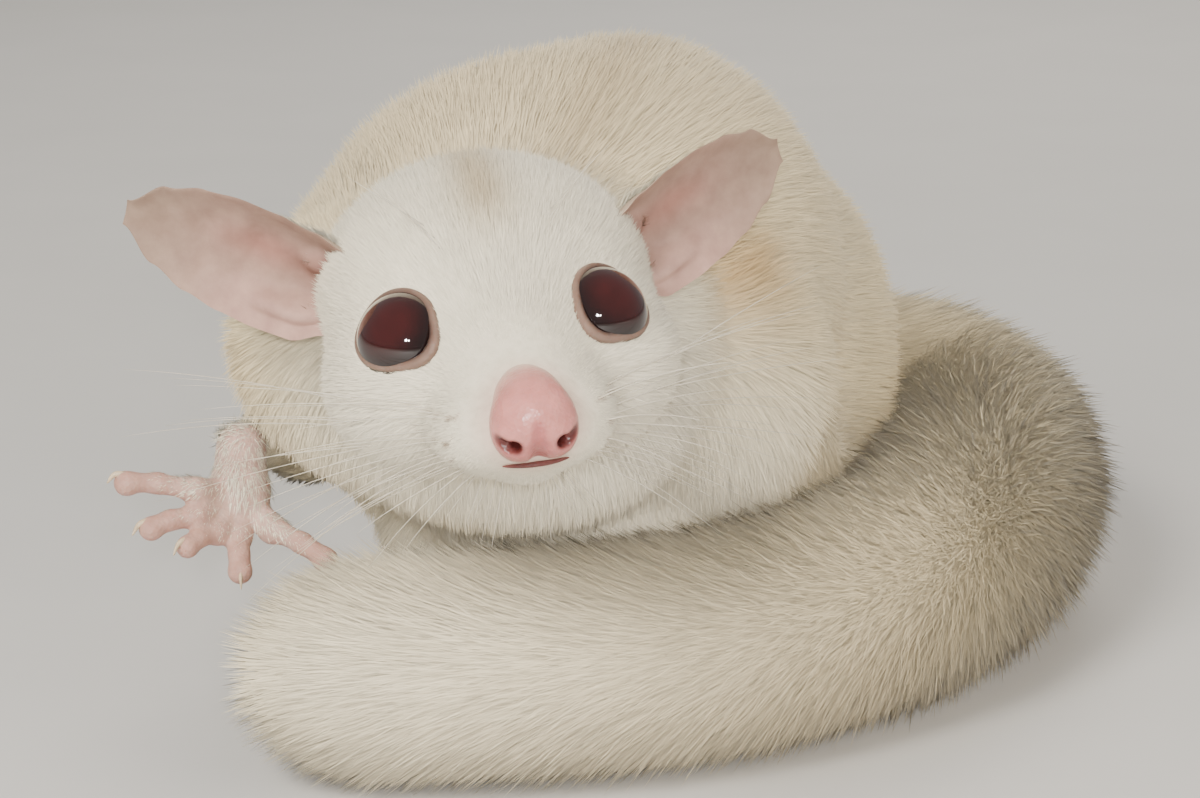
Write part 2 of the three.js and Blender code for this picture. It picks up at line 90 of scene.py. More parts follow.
def egg(centre, radii):
    centre, radii = np.array(centre, float), np.array(radii, float)

    def field(p):
        d = (p - centre) / radii
        near = np.linalg.norm(d, axis=1)
        slope = np.linalg.norm(d / radii, axis=1)
        return np.where(near < 0.05, -radii.min(), near * (near - 1) / np.maximum(slope, 1e-6))

    return field


def bar(a, b, r0, r1):
    a, b = np.array(a, float), np.array(b, float)
    ab = b - a

    def field(p):
        t = np.clip((p - a) @ ab / (ab @ ab), 0, 1)
        return np.linalg.norm(p - a - t[:, None] * ab, axis=1) - (r0 + (r1 - r0) * t)

    return field


def merge(distances, softness):
    """The distance to several forms made one, their joins softened."""
    total = sum(np.exp(np.clip(-d / softness, -60, 60)) for d in distances)
    return -softness * np.log(np.maximum(total, 1e-30))


def cut(d, tool, softness):
    """The distance d with the tool's form taken away, its edges softened."""
    return -merge([-d, tool], softness)


def blend(fields, softness):
    def field(p):
        return merge([f(p) for f in fields], softness)

    return field


def above(field, height):
    """A form without what lies under the height."""

    def field_above(p):
        return np.maximum(field(p), height - p[:, 2])

    return field_above


def gradient(field, p, step=0.3):
    out = np.empty_like(p)
    for axis in range(3):
        d = np.zeros(3)
        d[axis] = step
        out[:, axis] = field(p + d) - field(p - d)
    return unit(out)


EYES = vec(-9.4, -55, 55)
YAW, PITCH, ROLL = math.radians(10.5), math.radians(-3), math.radians(5)
forward = vec(math.sin(YAW) * math.cos(PITCH), -math.cos(YAW) * math.cos(PITCH), math.sin(PITCH))
level = vec(math.cos(YAW), math.sin(YAW), 0)
left = level * math.cos(ROLL) + np.cross(forward, level) * math.sin(ROLL)
HEAD = np.stack([forward, left, np.cross(forward, left)])


def to_head(p):
    return (p - EYES) @ HEAD.T


def from_head(q):
    return np.asarray(q, float) @ HEAD + EYES


HALF_WIDTH, TOP = 17.7, 10.8
NOSE = vec(15.7, 0, -6.0)
NOSE_SIZE = vec(3.1, 3.9, 3.6)
EYE_RADIUS, EYE_SHOWN = 4.8, 3.85

face_forms = [
    egg((-12.5, 0, TOP - 12.6), (13.6, HALF_WIDTH - 2, 11.8)),
    bar((-4, 0, -5.4), (12.6, 0, -7.2), 11.6, 4.5),
    bar((-5, 0, -10.4), (8.8, 0, -11.2), 6.6, 2.8),
]
for side in (-1, 1):
    face_forms.append(egg((-3.6, side * (HALF_WIDTH - 10.4), -7.6), (9.6, 9.6, 8.4)))
    face_forms.append(egg((9, side * 4.3, -8.6), (5.4, 4.3, 3.9)))
face_local = blend(face_forms, 1.5)


def face(p):
    return face_local(to_head(p))


neck = blend(
    [
        egg((-14, -23.5, 43), (25.6, 14, 17.5)),
        bar((-9.5, -22, 44), (-11.2, -40, 50), 17, 14.5),
        egg((-8.5, -30, 37), (17, 13, 12)),
    ],
    2.2,
)
trunk = blend(
    [
        egg((-8, -12, 38), (22, 20, 21)),
        egg((-5.5, 0, 43), (29, 22, 26.5)),
        egg((3, 11, 42), (25, 27, 28.2)),
        egg((12, 31, 32), (22.5, 22, 24.5)),
        egg((1, 3, 17), (21.5, 30, 19)),
        egg((-25.2, -10, 42), (11, 12, 15)),
        egg((13, -13, 36), (10.5, 12, 14)),
        egg((-13, 27, 24), (13, 19, 19)),
        egg((24.5, 25, 26), (11, 18, 19)),
    ],
    2.6,
)
WRIST_RIGHT, WRIST_LEFT = (-38.7, -20.6, 30.6), (13.5, -8.4, 6)
ANKLE_RIGHT, ANKLE_LEFT = (-19, 29.4, 5.8), (26.2, 23.6, 5.8)
shoulder, elbow = (-25, -7, 38), (-33.4, -2.5, 28)
arm_right = blend([bar(shoulder, elbow, 9, 6), bar(elbow, WRIST_RIGHT, 5.8, 2.8)], 1)
shoulder, elbow = (14, -12, 34), (20.5, -5, 20)
arm_left = blend([bar(shoulder, elbow, 10, 6.8), bar(elbow, WRIST_LEFT, 5.6, 2.8)], 1)
leg_right = blend(
    [
        egg((-18.5, 18, 16), (8.8, 13, 10.5)),
        bar((-21, 10.5, 11), ANKLE_RIGHT, 5.6, 3),
    ],
    1,
)
leg_left = blend(
    [
        egg((24, 14, 16), (8.6, 12, 11)),
        bar((26, 7, 11), ANKLE_LEFT, 5.4, 3),
    ],
    1,
)
fold_right = blend(
    [
        bar((-25, -3, 28), (-20, 20, 19), 4.6, 4.6),
        bar((-32.5, 0, 23.5), (-27, 15, 15.5), 2.4, 2.6),
    ],
    1,
)
fold_left = blend(
    [
        bar((22, -3, 25), (25, 22, 23), 4.8, 4.8),
        bar((27, -1, 19), (30, 16, 20), 2.4, 2.6),
    ],
    1,
)

# Each form with the depth of the coat over it
regions = {
    "face": (face, 0.55),
    "neck": (neck, 1.7),
    "trunk": (trunk, 1.9),
    "arm_right": (arm_right, 0.9),
    "arm_left": (arm_left, 0.9),
    "leg_right": (leg_right, 1.0),
    "leg_left": (leg_left, 1.0),
    "fold_right": (fold_right, 1.2),
    "fold_left": (fold_left, 1.2),
}
SKIN_BLEND = 2.2
SKIN_BASE = 0.6  # height of the skin over the floor where the belly rests


def under_coat(p):
    return [f(p) + depth for f, depth in regions.values()]


def all_flesh(p):
    return merge(under_coat(p), SKIN_BLEND)


def region_of(p):
    return np.array(list(regions))[np.argmin(under_coat(p), axis=0)]


body = above(all_flesh, SKIN_BASE)


# Meshes from fields


def net(field, low, high, step, coarse=1):
    """Vertices and quads of the surface where the field is zero, a vertex for each cell it crosses."""
    low = np.array(low, float)
    count = (np.ceil((np.array(high) - low) / step / coarse).astype(int) + 1) * coarse
    axes = [low[i] + step * np.arange(count[i]) for i in range(3)]
    if coarse > 1:
        rough_axes = [a[coarse // 2 :: coarse] for a in axes]
        rough = np.stack(np.meshgrid(*rough_axes, indexing="ij"), -1).reshape(-1, 3)
        values = field(rough).reshape([len(a) for a in rough_axes])
        for axis in range(3):
            values = np.repeat(values, coarse, axis=axis)
        close = np.abs(values) < step * coarse * 1.6
        i, j, k = np.nonzero(close)
        values[close] = field(np.stack([axes[0][i], axes[1][j], axes[2][k]], -1))
    else:
        grid = np.stack(np.meshgrid(*axes, indexing="ij"), -1).reshape(-1, 3)
        values = field(grid).reshape(count)
    inside = values < 0
    cells = np.array(inside.shape) - 1
    corners = np.zeros(cells, int)
    for dx in (0, 1):
        for dy in (0, 1):
            for dz in (0, 1):
                corners += inside[dx : dx + cells[0], dy : dy + cells[1], dz : dz + cells[2]]
    crossed = (corners > 0) & (corners < 8)
    index = -np.ones(cells, int)
    index[crossed] = np.arange(crossed.sum())
    i, j, k = np.nonzero(crossed)
    verts = low + step * (np.stack([i, j, k], -1) + 0.5)
    for _ in range(3):
        d = field(verts)
        verts -= np.clip(d, -step, step)[:, None] * gradient(field, verts, step * 0.6)
    faces = []
    for axis in range(3):
        a, b = [x for x in range(3) if x != axis]
        start = [slice(None)] * 3
        start[axis] = slice(0, -1)
        stop = [slice(None)] * 3
        stop[axis] = slice(1, None)
        first, second = inside[tuple(start)], inside[tuple(stop)]
        edge = np.nonzero(first != second)
        spot = np.stack(edge, -1)
        first_a, first_b = spot[:, a], spot[:, b]
        fine = (first_a > 0) & (first_b > 0) & (first_a < cells[a]) & (first_b < cells[b])
        spot = spot[fine & (spot[:, axis] < cells[axis])]
        out = first[tuple(spot.T)]
        quad = []
        for da, db in ((0, 0), (1, 0), (1, 1), (0, 1)):
            cell = spot.copy()
            cell[:, a] -= da
            cell[:, b] -= db
            quad.append(index[tuple(cell.T)])
        quad = np.stack(quad, -1)
        turn = out if axis != 1 else ~out
        faces.append(np.where(turn[:, None], quad, quad[:, ::-1]))
    faces = np.concatenate(faces)
    return verts, faces[(faces >= 0).all(axis=1)]


def make_object(name, verts, faces, material, colour=None, normals=None, uv=None):
    """A mesh from millimetres. faces is a list of arrays, each of faces with as many corners."""
    mesh = bpy.data.meshes.new(name)
    faces = [f for f in faces if len(f)]
    loops = np.concatenate([f.ravel() for f in faces])
    totals = np.concatenate([np.full(len(f), f.shape[1]) for f in faces])
    starts = np.concatenate([[0], np.cumsum(totals)[:-1]])
    mesh.vertices.add(len(verts))
    mesh.vertices.foreach_set("co", (verts * MM).astype(np.float32).ravel())
    mesh.loops.add(len(loops))
    mesh.loops.foreach_set("vertex_index", loops.astype(np.int32))
    mesh.polygons.add(len(totals))
    mesh.polygons.foreach_set("loop_start", starts.astype(np.int32))
    mesh.polygons.foreach_set("use_smooth", np.full(len(totals), True))
    mesh.update(calc_edges=True)
    if colour is not None:
        layer = mesh.color_attributes.new("markings_and_shade", "FLOAT_COLOR", "POINT")
        values = np.c_[colour, np.ones(len(colour))].astype(np.float32)
        layer.data.foreach_set("color", values.ravel())
    if uv is not None:
        layer = mesh.uv_layers.new(name="OFBake")
        layer.data.foreach_set("uv", uv[loops].astype(np.float32).ravel())
    if normals is not None:
        mesh.normals_split_custom_set_from_vertices(normals.astype(np.float32))
    mesh.materials.append(material)
    made = bpy.data.objects.new(name, mesh)
    bpy.context.scene.collection.objects.link(made)
    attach(made, "root")
    return made


def tube(points, radii, sides):
    """Vertices, quads and end caps of a tube along points. radii: a number or a pair for each point."""
    points = np.asarray(points, float)
    radii = np.asarray(radii, float)
    if radii.ndim == 1:
        radii = np.stack([radii, radii], -1)
    tangent = unit(np.gradient(points, axis=0))
    side = unit(np.cross(tangent, UP) + 1e-6)
    over = np.cross(side, tangent)
    turn = circle(sides)
    ring = side[:, None] * np.cos(turn)[None, :, None] * radii[:, None, :1]
    ring = ring + over[:, None] * np.sin(turn)[None, :, None] * radii[:, None, 1:]
    verts = (points[:, None] + ring).reshape(-1, 3)
    n = len(points)
    a = np.arange((n - 1) * sides).reshape(n - 1, sides)
    b = np.roll(a, -1, axis=1)
    quads = np.stack([a, a + sides, b + sides, b], -1).reshape(-1, 4)
    ends = np.stack([np.arange(sides), np.arange(sides)[::-1] + (n - 1) * sides])
    return verts, quads, ends


def join_parts(parts):
    """Joins (vertices, quads, caps) of several tubes."""
    verts, quads, caps, base = [], [], [], 0
    for v, q, c in parts:
        verts.append(v)
        quads.append(q + base)
        caps.append(c + base)
        base += len(v)
    return np.concatenate(verts), [np.concatenate(quads), np.concatenate(caps)]


def spline(points, count):
    """Evenly spaced points on the centripetal curve through the given ones, as the solids use."""
    p = np.array(points, float)
    p = np.vstack([2 * p[0] - p[1], p, 2 * p[-1] - p[-2]])
    out = []
    for i in range(len(p) - 3):
        q = p[i : i + 4]
        t = np.concatenate([[0], np.cumsum(np.linalg.norm(np.diff(q, axis=0), axis=1) ** 0.5)])
        s = np.linspace(t[1], t[2], 40)[:, None]

        def between(u, v, t0, t1):
            return u * (t1 - s) / (t1 - t0) + v * (s - t0) / (t1 - t0)

        a = [between(q[j], q[j + 1], t[j], t[j + 1]) for j in range(3)]
        b = [between(a[j], a[j + 1], t[j], t[j + 2]) for j in range(2)]
        out.append(between(b[0], b[1], t[1], t[2]))
    line = np.concatenate(out)
    gone = np.concatenate([[0], np.cumsum(np.linalg.norm(np.diff(line, axis=0), axis=1))])
    at = np.linspace(0, gone[-1], count)
    return np.stack([np.interp(at, gone, line[:, i]) for i in range(3)], -1)


def profile(values, t):
    at = np.clip(t, 0, 1) * (len(values) - 1)
    i = np.minimum(at.astype(int), len(values) - 2)
    s = at - i
    values = np.array(values, float)
    return mix(values[i], values[i + 1], s * s * (3 - 2 * s))


# Tail's line and size

TAIL_LINE = [
    (20, 46, 22),
    (32, 50, 19.5),
    (43.5, 42, 17),
    (46.5, 24, 15),
    (42.5, 4, 13.8),
    (32.5, -15, 13),
    (16, -29.5, 12.6),
    (-4, -37, 12.3),
    (-31.5, -39, 12),
]
COAT, CORE = 13.2, 9.2
TUCK = 0.2  # how deep the hairs' roots stand
COAT_AT = [0.7, 1.02, 1.18, 1.16, 1.06, 1, 0.97, 0.96, 0.95]
tail_line = spline(TAIL_LINE, 241)
tail_share = np.linspace(0, 1, len(tail_line))
tail_tangent = unit(np.gradient(tail_line, axis=0))
tail_side = unit(np.cross(tail_tangent, UP))
tail_up = np.cross(tail_side, tail_tangent)
tail_length = np.linalg.norm(np.diff(tail_line, axis=0), axis=1).sum()


def closing(t):
    return np.sqrt(np.maximum(0.04, 1 - np.maximum(0, (t - 0.91) / 0.09) ** 2))


def tail_core(at):
    return (CORE - TUCK) * profile(COAT_AT, at) * closing(at)


# Whiskers' roots, in rows on each lip


def on_face_at(start, way):
    line = start + np.linspace(0, 16, 321)[:, None] * unit(way)
    return line[np.argmax(face_local(line) >= -0.5)]


whisker_rows = []
for side in (-1, 1):
    for row in range(5):
        for column in range(6):
            start = vec(6.5 - 1.2 * column, side * 1.2, -5.2 - 1.15 * row)
            way = vec(0.95 - 0.16 * column, side * (1.0 + 0.05 * column), -0.18 - 0.12 * row)
            root = on_face_at(start, way)
            if np.linalg.norm((root - NOSE) / vec(1.2, 1, 1)) > 4.6:
                whisker_rows.append((side, row, column, root))

# Markings and painted shade: linear colours, by the place on the body or along the tail, with a painted
# shadow behind the ears

WHITE = vec(0.86, 0.785, 0.62)
CREAM = vec(0.80, 0.67, 0.42)
TAN = vec(0.68, 0.56, 0.37)
STRIPE = vec(0.50, 0.39, 0.235)
# amber behind the ears: partly the coat's own colour, partly painted shadow of the ear
AMBER_AND_EAR_SHADOW = vec(0.42, 0.24, 0.085)
PINK_SKIN = vec(0.66, 0.40, 0.335)
SPECK = vec(0.28, 0.15, 0.09)


# Colours by place on the body: the coat's markings, with a painted shadow behind the ears
def markings_and_shade(p, tail_at=None):
    if tail_at is not None:
        return tint(mix(CREAM, TAN, 0.25), mix(WHITE, CREAM, 0.4), smooth(0.55, 0.95, tail_at))
    q = to_head(p)
    colour = np.repeat(CREAM[None], len(p), axis=0)
    back = smooth(38, 66, p[:, 2]) * smooth(-40, -5, p[:, 1])
    colour = tint(colour, TAN, 0.45 * back)
    belly = 1 - smooth(8, 30, p[:, 2])
    colour = tint(colour, WHITE, 0.75 * belly)
    middle = -9.4 + (p[:, 1] + 30) * 0.36
    line = np.exp(-(((p[:, 0] - middle) / 3.4) ** 2))
    line = line * smooth(44, 58, p[:, 2]) * smooth(-32, -22, p[:, 1])
    colour = tint(colour, STRIPE, 0.5 * line * (1 - smooth(28, 44, p[:, 1])))
    on_head = smooth(-31, -17, q[:, 0])
    chest = smooth(-10, -24, p[:, 1]) * (1 - smooth(28, 44, p[:, 2]))
    colour = tint(colour, WHITE, 0.85 * chest)
    colour = tint(colour, WHITE, on_head)
    crown = np.exp(-((q[:, 1] / 2.8) ** 2)) * smooth(1.5, 7, q[:, 2])
    crown = crown * (1 - smooth(-6, 3, q[:, 0]))
    colour = tint(colour, STRIPE, 0.8 * crown * on_head)
    # Behind each ear, an amber patch that is partly the coat's own colour and partly painted shadow of the
    # ear
    for side in (-1, 1):
        d = np.linalg.norm((q - vec(-31, side * 28, -10)) / vec(1.5, 1, 1), axis=1)
        colour = tint(colour, AMBER_AND_EAR_SHADOW, 0.75 * np.exp(-((d / 4.8) ** 2)))
    for _, _, column, spot in whisker_rows:
        gap = np.linalg.norm(q - spot, axis=1)
        strength = max(0, 0.8 - 0.18 * column)
        colour = tint(colour, SPECK, strength * (1 - smooth(0.15, 0.45, gap)))
    near_nose = np.linalg.norm((q - NOSE) / vec(1.25, 1, 1), axis=1)
    colour = tint(colour, PINK_SKIN, 0.5 * (1 - smooth(4.0, 7.0, near_nose)))
    return colour


# Materials


def node_material(name, build):
    material = bpy.data.materials.new(name)
    material.use_nodes = True
    nodes, links = material.node_tree.nodes, material.node_tree.links
    shader = nodes["Principled BSDF"]
    build(nodes, links, shader)
    return material


def tinted(nodes, links, base, low, high, scale, detail=3.0):
    """base times a noise from low to high. Returns the sockets of the colour and of the noise."""
    where = nodes.new("ShaderNodeNewGeometry")
    spots = nodes.new("ShaderNodeTexNoise")
    spots.inputs["Scale"].default_value = scale
    spots.inputs["Detail"].default_value = detail
    spots.inputs["Roughness"].default_value = 0.55
    links.new(where.outputs["Position"], spots.inputs["Vector"])
    ramp = nodes.new("ShaderNodeValToRGB")
    ramp.color_ramp.elements[0].position = 0.3
    ramp.color_ramp.elements[0].color = (*low, 1)
    ramp.color_ramp.elements[1].position = 0.7
    ramp.color_ramp.elements[1].color = (*high, 1)
    links.new(spots.outputs["Fac"], ramp.inputs["Fac"])
    both = nodes.new("ShaderNodeMix")
    both.data_type = "RGBA"
    both.blend_type = "MULTIPLY"
    both.inputs["Factor"].default_value = 1
    links.new(base, both.inputs[6])
    links.new(ramp.outputs["Color"], both.inputs[7])
    return both.outputs[2], spots.outputs["Fac"]


def bumped(nodes, links, shader, height, strength, distance):
    bump = nodes.new("ShaderNodeBump")
    bump.inputs["Strength"].default_value = strength
    bump.inputs["Distance"].default_value = distance
    links.new(height, bump.inputs["Height"])
    links.new(bump.outputs["Normal"], shader.inputs["Normal"])


def attribute(nodes):
    made = nodes.new("ShaderNodeAttribute")
    # the colour attribute: markings together with painted shade
    made.attribute_name = "markings_and_shade"
    return made.outputs["Color"]


def build_hair(nodes, links, shader):
    colour, _ = tinted(nodes, links, attribute(nodes), (0.93, 0.92, 0.90), (1.03, 1.02, 1.0), 260.0)
    links.new(colour, shader.inputs["Base Color"])
    shader.inputs["Roughness"].default_value = 0.62
    shader.inputs["Specular IOR Level"].default_value = 0.22
    shader.inputs["Sheen Weight"].default_value = 0.25
    shader.inputs["Sheen Roughness"].default_value = 0.5
    shader.inputs["Sheen Tint"].default_value = (1, 0.96, 0.88, 1)


def build_skin(nodes, links, shader):
    colour, spots = tinted(nodes, links, attribute(nodes), (0.86, 0.84, 0.82), (1.0, 0.99, 0.98), 900.0)
    links.new(colour, shader.inputs["Base Color"])
    shader.inputs["Roughness"].default_value = 0.75
    shader.inputs["Specular IOR Level"].default_value = 0.2
    bumped(nodes, links, shader, spots, 0.5, 0.0002)


def build_bare(nodes, links, shader):
    colour, spots = tinted(nodes, links, attribute(nodes), (0.88, 0.80, 0.78), (1.06, 1.02, 1.0), 700.0, 5)
    links.new(colour, shader.inputs["Base Color"])
    shader.inputs["Roughness"].default_value = 0.5
    shader.inputs["Specular IOR Level"].default_value = 0.4
    shader.inputs["Subsurface Weight"].default_value = 0.35
    shader.inputs["Subsurface Radius"].default_value = (0.9, 0.35, 0.22)
    shader.inputs["Subsurface Scale"].default_value = 0.0008
    creases = nodes.new("ShaderNodeTexVoronoi")
    creases.inputs["Scale"].default_value = 2600
    where = nodes.new("ShaderNodeNewGeometry")
    links.new(where.outputs["Position"], creases.inputs["Vector"])
    total = nodes.new("ShaderNodeMath")
    total.operation = "ADD"
    links.new(creases.outputs["Distance"], total.inputs[0])
    links.new(spots, total.inputs[1])
    bumped(nodes, links, shader, total.outputs[0], 0.45, 0.00012)


def build_nose(nodes, links, shader):
    build_bare(nodes, links, shader)
    shader.inputs["Roughness"].default_value = 0.3
    shader.inputs["Coat Weight"].default_value = 0.25
    shader.inputs["Coat Roughness"].default_value = 0.25


def build_ear(nodes, links, shader):
    colour, spots = tinted(nodes, links, attribute(nodes), (0.82, 0.76, 0.74), (1.05, 1.03, 1.0), 420.0, 5)
    links.new(colour, shader.inputs["Base Color"])
    shader.inputs["Roughness"].default_value = 0.55
    shader.inputs["Specular IOR Level"].default_value = 0.3
    bumped(nodes, links, shader, spots, 0.5, 0.0003)
    through = nodes.new("ShaderNodeBsdfTranslucent")
    links.new(colour, through.inputs["Color"])
    both = nodes.new("ShaderNodeMixShader")
    both.inputs["Fac"].default_value = 0.3
    links.new(shader.outputs["BSDF"], both.inputs[1])
    links.new(through.outputs["BSDF"], both.inputs[2])
    links.new(both.outputs["Shader"], nodes["Material Output"].inputs["Surface"])


def build_eye(nodes, links, shader):
    colour, _ = tinted(nodes, links, attribute(nodes), (0.8, 0.8, 0.8), (1.1, 1.0, 1.0), 500.0)
    links.new(colour, shader.inputs["Base Color"])
    shader.inputs["Roughness"].default_value = 0.06
    shader.inputs["IOR"].default_value = 1.4
    shader.inputs["Coat Weight"].default_value = 1.0
    shader.inputs["Coat Roughness"].default_value = 0.02


def build_claw(nodes, links, shader):
    base = nodes.new("ShaderNodeRGB")
    base.outputs[0].default_value = (0.62, 0.50, 0.34, 1)
    colour, spots = tinted(nodes, links, base.outputs[0], (0.8, 0.76, 0.7), (1.1, 1.08, 1.05), 1500.0)
    links.new(colour, shader.inputs["Base Color"])
    shader.inputs["Roughness"].default_value = 0.35
    bumped(nodes, links, shader, spots, 0.2, 0.0001)


def build_whisker(nodes, links, shader):
    base = nodes.new("ShaderNodeRGB")
    base.outputs[0].default_value = (0.62, 0.56, 0.46, 1)
    colour, _ = tinted(nodes, links, base.outputs[0], (0.8, 0.78, 0.74), (1.1, 1.1, 1.08), 200.0)
    links.new(colour, shader.inputs["Base Color"])
    shader.inputs["Roughness"].default_value = 0.3


def build_floor(nodes, links, shader):
    base = nodes.new("ShaderNodeRGB")
    base.outputs[0].default_value = (0.60, 0.585, 0.56, 1)
    colour, _ = tinted(nodes, links, base.outputs[0], (0.97, 0.97, 0.97), (1.0, 1.0, 1.0), 30.0)
    links.new(colour, shader.inputs["Base Color"])
    shader.inputs["Roughness"].default_value = 0.8


hair = node_material("fur", build_hair)
skin_under_fur = node_material("skin_under_fur", build_skin)
bare_skin = node_material("bare_skin", build_bare)
nose_skin = node_material("nose_skin", build_nose)
ear_skin = node_material("ear_skin", build_ear)
eye_gloss = node_material("eye", build_eye)
claw_horn = node_material("claw_horn", build_claw)
whisker_hair = node_material("whisker", build_whisker)
pale_floor = node_material("pale_floor", build_floor)


# Skin

SKIN_LOW, SKIN_HIGH = (-43, -75, -1), (40, 56, 75)
TAIL_SIDES = 24
UNDER_SHADE = 0.93
verts, quads = net(body, SKIN_LOW, SKIN_HIGH, 0.5, 4)
core_verts, core_quads, core_ends = tube(tail_line, tail_core(tail_share), TAIL_SIDES)
core_at = np.repeat(tail_share, TAIL_SIDES)
skin = make_object(
    "skin",
    np.concatenate([verts, core_verts]),
    [np.concatenate([quads, core_quads + len(verts)]), core_ends + len(verts)],
    skin_under_fur,
    colour=np.concatenate([markings_and_shade(verts), markings_and_shade(core_verts, core_at)]) * UNDER_SHADE,
)
flesh = ["head", "neck", "torso", "arm_left", "arm_right", "leg_left", "leg_right"]
flesh += ["patagium_left", "patagium_right", "tail_1", "tail_2", "tail_3", "tail_4", "tail_5"]
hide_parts(*flesh)


# Eyes

SIDES = ((1, "left"), (-1, "right"))
EYE_DARK, EYE_RUBY = vec(0.010, 0.004, 0.004), vec(0.036, 0.006, 0.006)
LID_EDGE, LID_SKIN = vec(0.06, 0.035, 0.03), vec(0.22, 0.15, 0.115)
LID_TURNS, LID_SIDES = 72, 12


def eye_place(side):
    """The eyeball's centre and axis in the head's frame, so deep that its opening lies in the face."""
    way = unit(vec(0.74, side * 0.64, 0.2))
    start = vec(-4, side * 6.2, -1.6)
    line = start + np.linspace(0, 14, 1401)[:, None] * way
    opening = line[np.argmax(face_local(line) >= 0)]
    axis = gradient(face_local, opening[None], 2.0)[0]
    return opening - axis * math.sqrt(EYE_RADIUS**2 - EYE_SHOWN**2), axis


def across_eye(axis):
    """The level way and the way up, across the eye's axis."""
    up = unit(UP - axis * axis[2])
    return np.cross(up, axis), up


def make_eyeball(side, name):
    centre, axis = eye_place(side)
    level_way, up = across_eye(axis)
    rings, turns = 38, 56
    around = circle(turns)[:, None]
    ring = np.cos(around) * level_way + np.sin(around) * up
    ball = [centre + axis * EYE_RADIUS]
    for polar in np.linspace(0, math.pi, rings + 2)[1:-1]:
        ball.extend(centre + EYE_RADIUS * (math.cos(polar) * axis + math.sin(polar) * ring))
    ball.append(centre - axis * EYE_RADIUS)
    ball = np.array(ball)
    a = 1 + np.arange((rings - 1) * turns).reshape(-1, turns)
    b = np.roll(a, -1, axis=1)
    bands = np.stack([a, a + turns, b + turns, b], -1).reshape(-1, 4)
    last = len(ball) - 1
    first_ring = 1 + np.arange(turns)
    last_ring = last - turns + np.arange(turns)
    front_cap = np.stack([np.zeros(turns, int), first_ring, np.roll(first_ring, -1)], -1)
    back_cap = np.stack([np.full(turns, last), np.roll(last_ring, -1), last_ring], -1)
    faces = [bands, np.concatenate([front_cap, back_cap])]
    tone = tint(EYE_DARK, EYE_RUBY, smooth(0.55, 0.95, unit(ball - centre) @ axis))
    eyeball = make_object("eyeball_" + name, from_head(ball), faces, eye_gloss, tone)
    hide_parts("eye_" + name)


def make_lids(side, name):
    """A soft rim round the eye's opening, drawn to a corner by the nose."""
    centre, axis = eye_place(side)
    level_way, up = across_eye(axis)
    turn = circle(LID_TURNS)
    temple = np.arctan2(np.sin(turn), side * np.cos(turn))
    corner = np.maximum(0, -np.cos(temple - 0.35)) ** 6
    reach = (EYE_SHOWN * (1 + 0.24 * corner) + 0.15)[:, None]
    turn = turn[:, None]
    flat = centre + reach * (np.cos(turn) * level_way + 0.95 * np.sin(turn) * up)
    lift = np.zeros(LID_TURNS)
    for _ in range(400):
        low = face_local(flat + lift[:, None] * axis) < -0.35
        lift[low] += 0.02
    spine = flat + lift[:, None] * axis
    outward = unit(flat - centre)[:, None]
    thick = (0.5 + 0.14 * corner)[:, None, None]
    small = circle(LID_SIDES)
    bent = small[None, :, None]
    shape = spine[:, None] + thick * (np.cos(bent) * outward + np.sin(bent) * axis)
    a = np.arange(LID_TURNS * LID_SIDES).reshape(LID_TURNS, LID_SIDES)
    b = np.roll(a, -1, axis=1)
    bands = np.stack([a, b, np.roll(b, -1, axis=0), np.roll(a, -1, axis=0)], -1).reshape(-1, 4)
    tone = tint(LID_EDGE, LID_SKIN, smooth(-0.9, 0.8, np.tile(np.cos(small), LID_TURNS)))
    lids = make_object("lids_" + name, from_head(shape.reshape(-1, 3)), [bands], bare_skin, tone)


for side, name in SIDES:
    make_eyeball(side, name)
    make_lids(side, name)


# Nose

NOSE_BACK, NOSE_FRONT = vec(0.66, 0.42, 0.345), vec(0.57, 0.24, 0.215)
NOSE_UNDER, NOSE_GROOVE_SHADE = vec(0.50, 0.175, 0.165), vec(0.38, 0.10, 0.10)
# painted shade inside the nostrils
NOSTRIL_SHADE = vec(0.10, 0.022, 0.02)
nostrils = []
for side in (-1, 1):
    nostrils.append(bar((17.2, side * 1.9, -7.3), (19.0, side * 2.5, -7.6), 0.4, 0.66))
    nostrils.append(bar((18.2, side * 2.6, -7.5), (17.4, side * 4.2, -6.6), 0.48, 0.25))
groove = blend(
    [
        bar((19.1, 0, -5.6), (18.7, 0, -8.0), 0.25, 0.45),
        bar((18.7, 0, -8.0), (16.2, 0, -10.4), 0.5, 0.65),
    ],
    0.2,
)
nose_forms = blend(
    [
        egg(NOSE, NOSE_SIZE),
        egg(NOSE + vec(-2.2, 0, 1.2), NOSE_SIZE - vec(0, 0.9, 0.6)),
        egg(NOSE + vec(0.6, 1.75, -1.1), (2.2, 2.0, 2.2)),
        egg(NOSE + vec(0.6, -1.75, -1.1), (2.2, 2.0, 2.2)),
        bar((11.5, 0, -4.6), (14.5, 0, -5.2), 2.4, 2.9),
    ],
    0.45,
)


def nose_field(q):
    carved = nose_forms(q)
    for f in nostrils:
        carved = cut(carved, f(q), 0.18)
    return cut(carved, groove(q), 0.3)


nose_verts, nose_quads = net(nose_field, (7, -6, -12), (21, 6, 1), 0.16, 2)
to_nostril = np.min([f(nose_verts) for f in nostrils], axis=0)
tone = tint(NOSE_BACK, NOSE_FRONT, smooth(11, 16.5, nose_verts[:, 0]))
tone = tint(tone, NOSE_UNDER, 0.8 * (1 - smooth(-9.6, -6.4, nose_verts[:, 2])))
# Painted shade along the groove down the nose
tone = tint(tone, NOSE_GROOVE_SHADE, 0.6 * np.exp(-((groove(nose_verts) / 0.5) ** 2)))
# Painted shade inside the nostrils
tone = tint(tone, NOSTRIL_SHADE, 1 - smooth(0.0, 0.5, to_nostril))
nose = make_object("nose_pad", from_head(nose_verts), [nose_quads], nose_skin, tone)
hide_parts("nose")
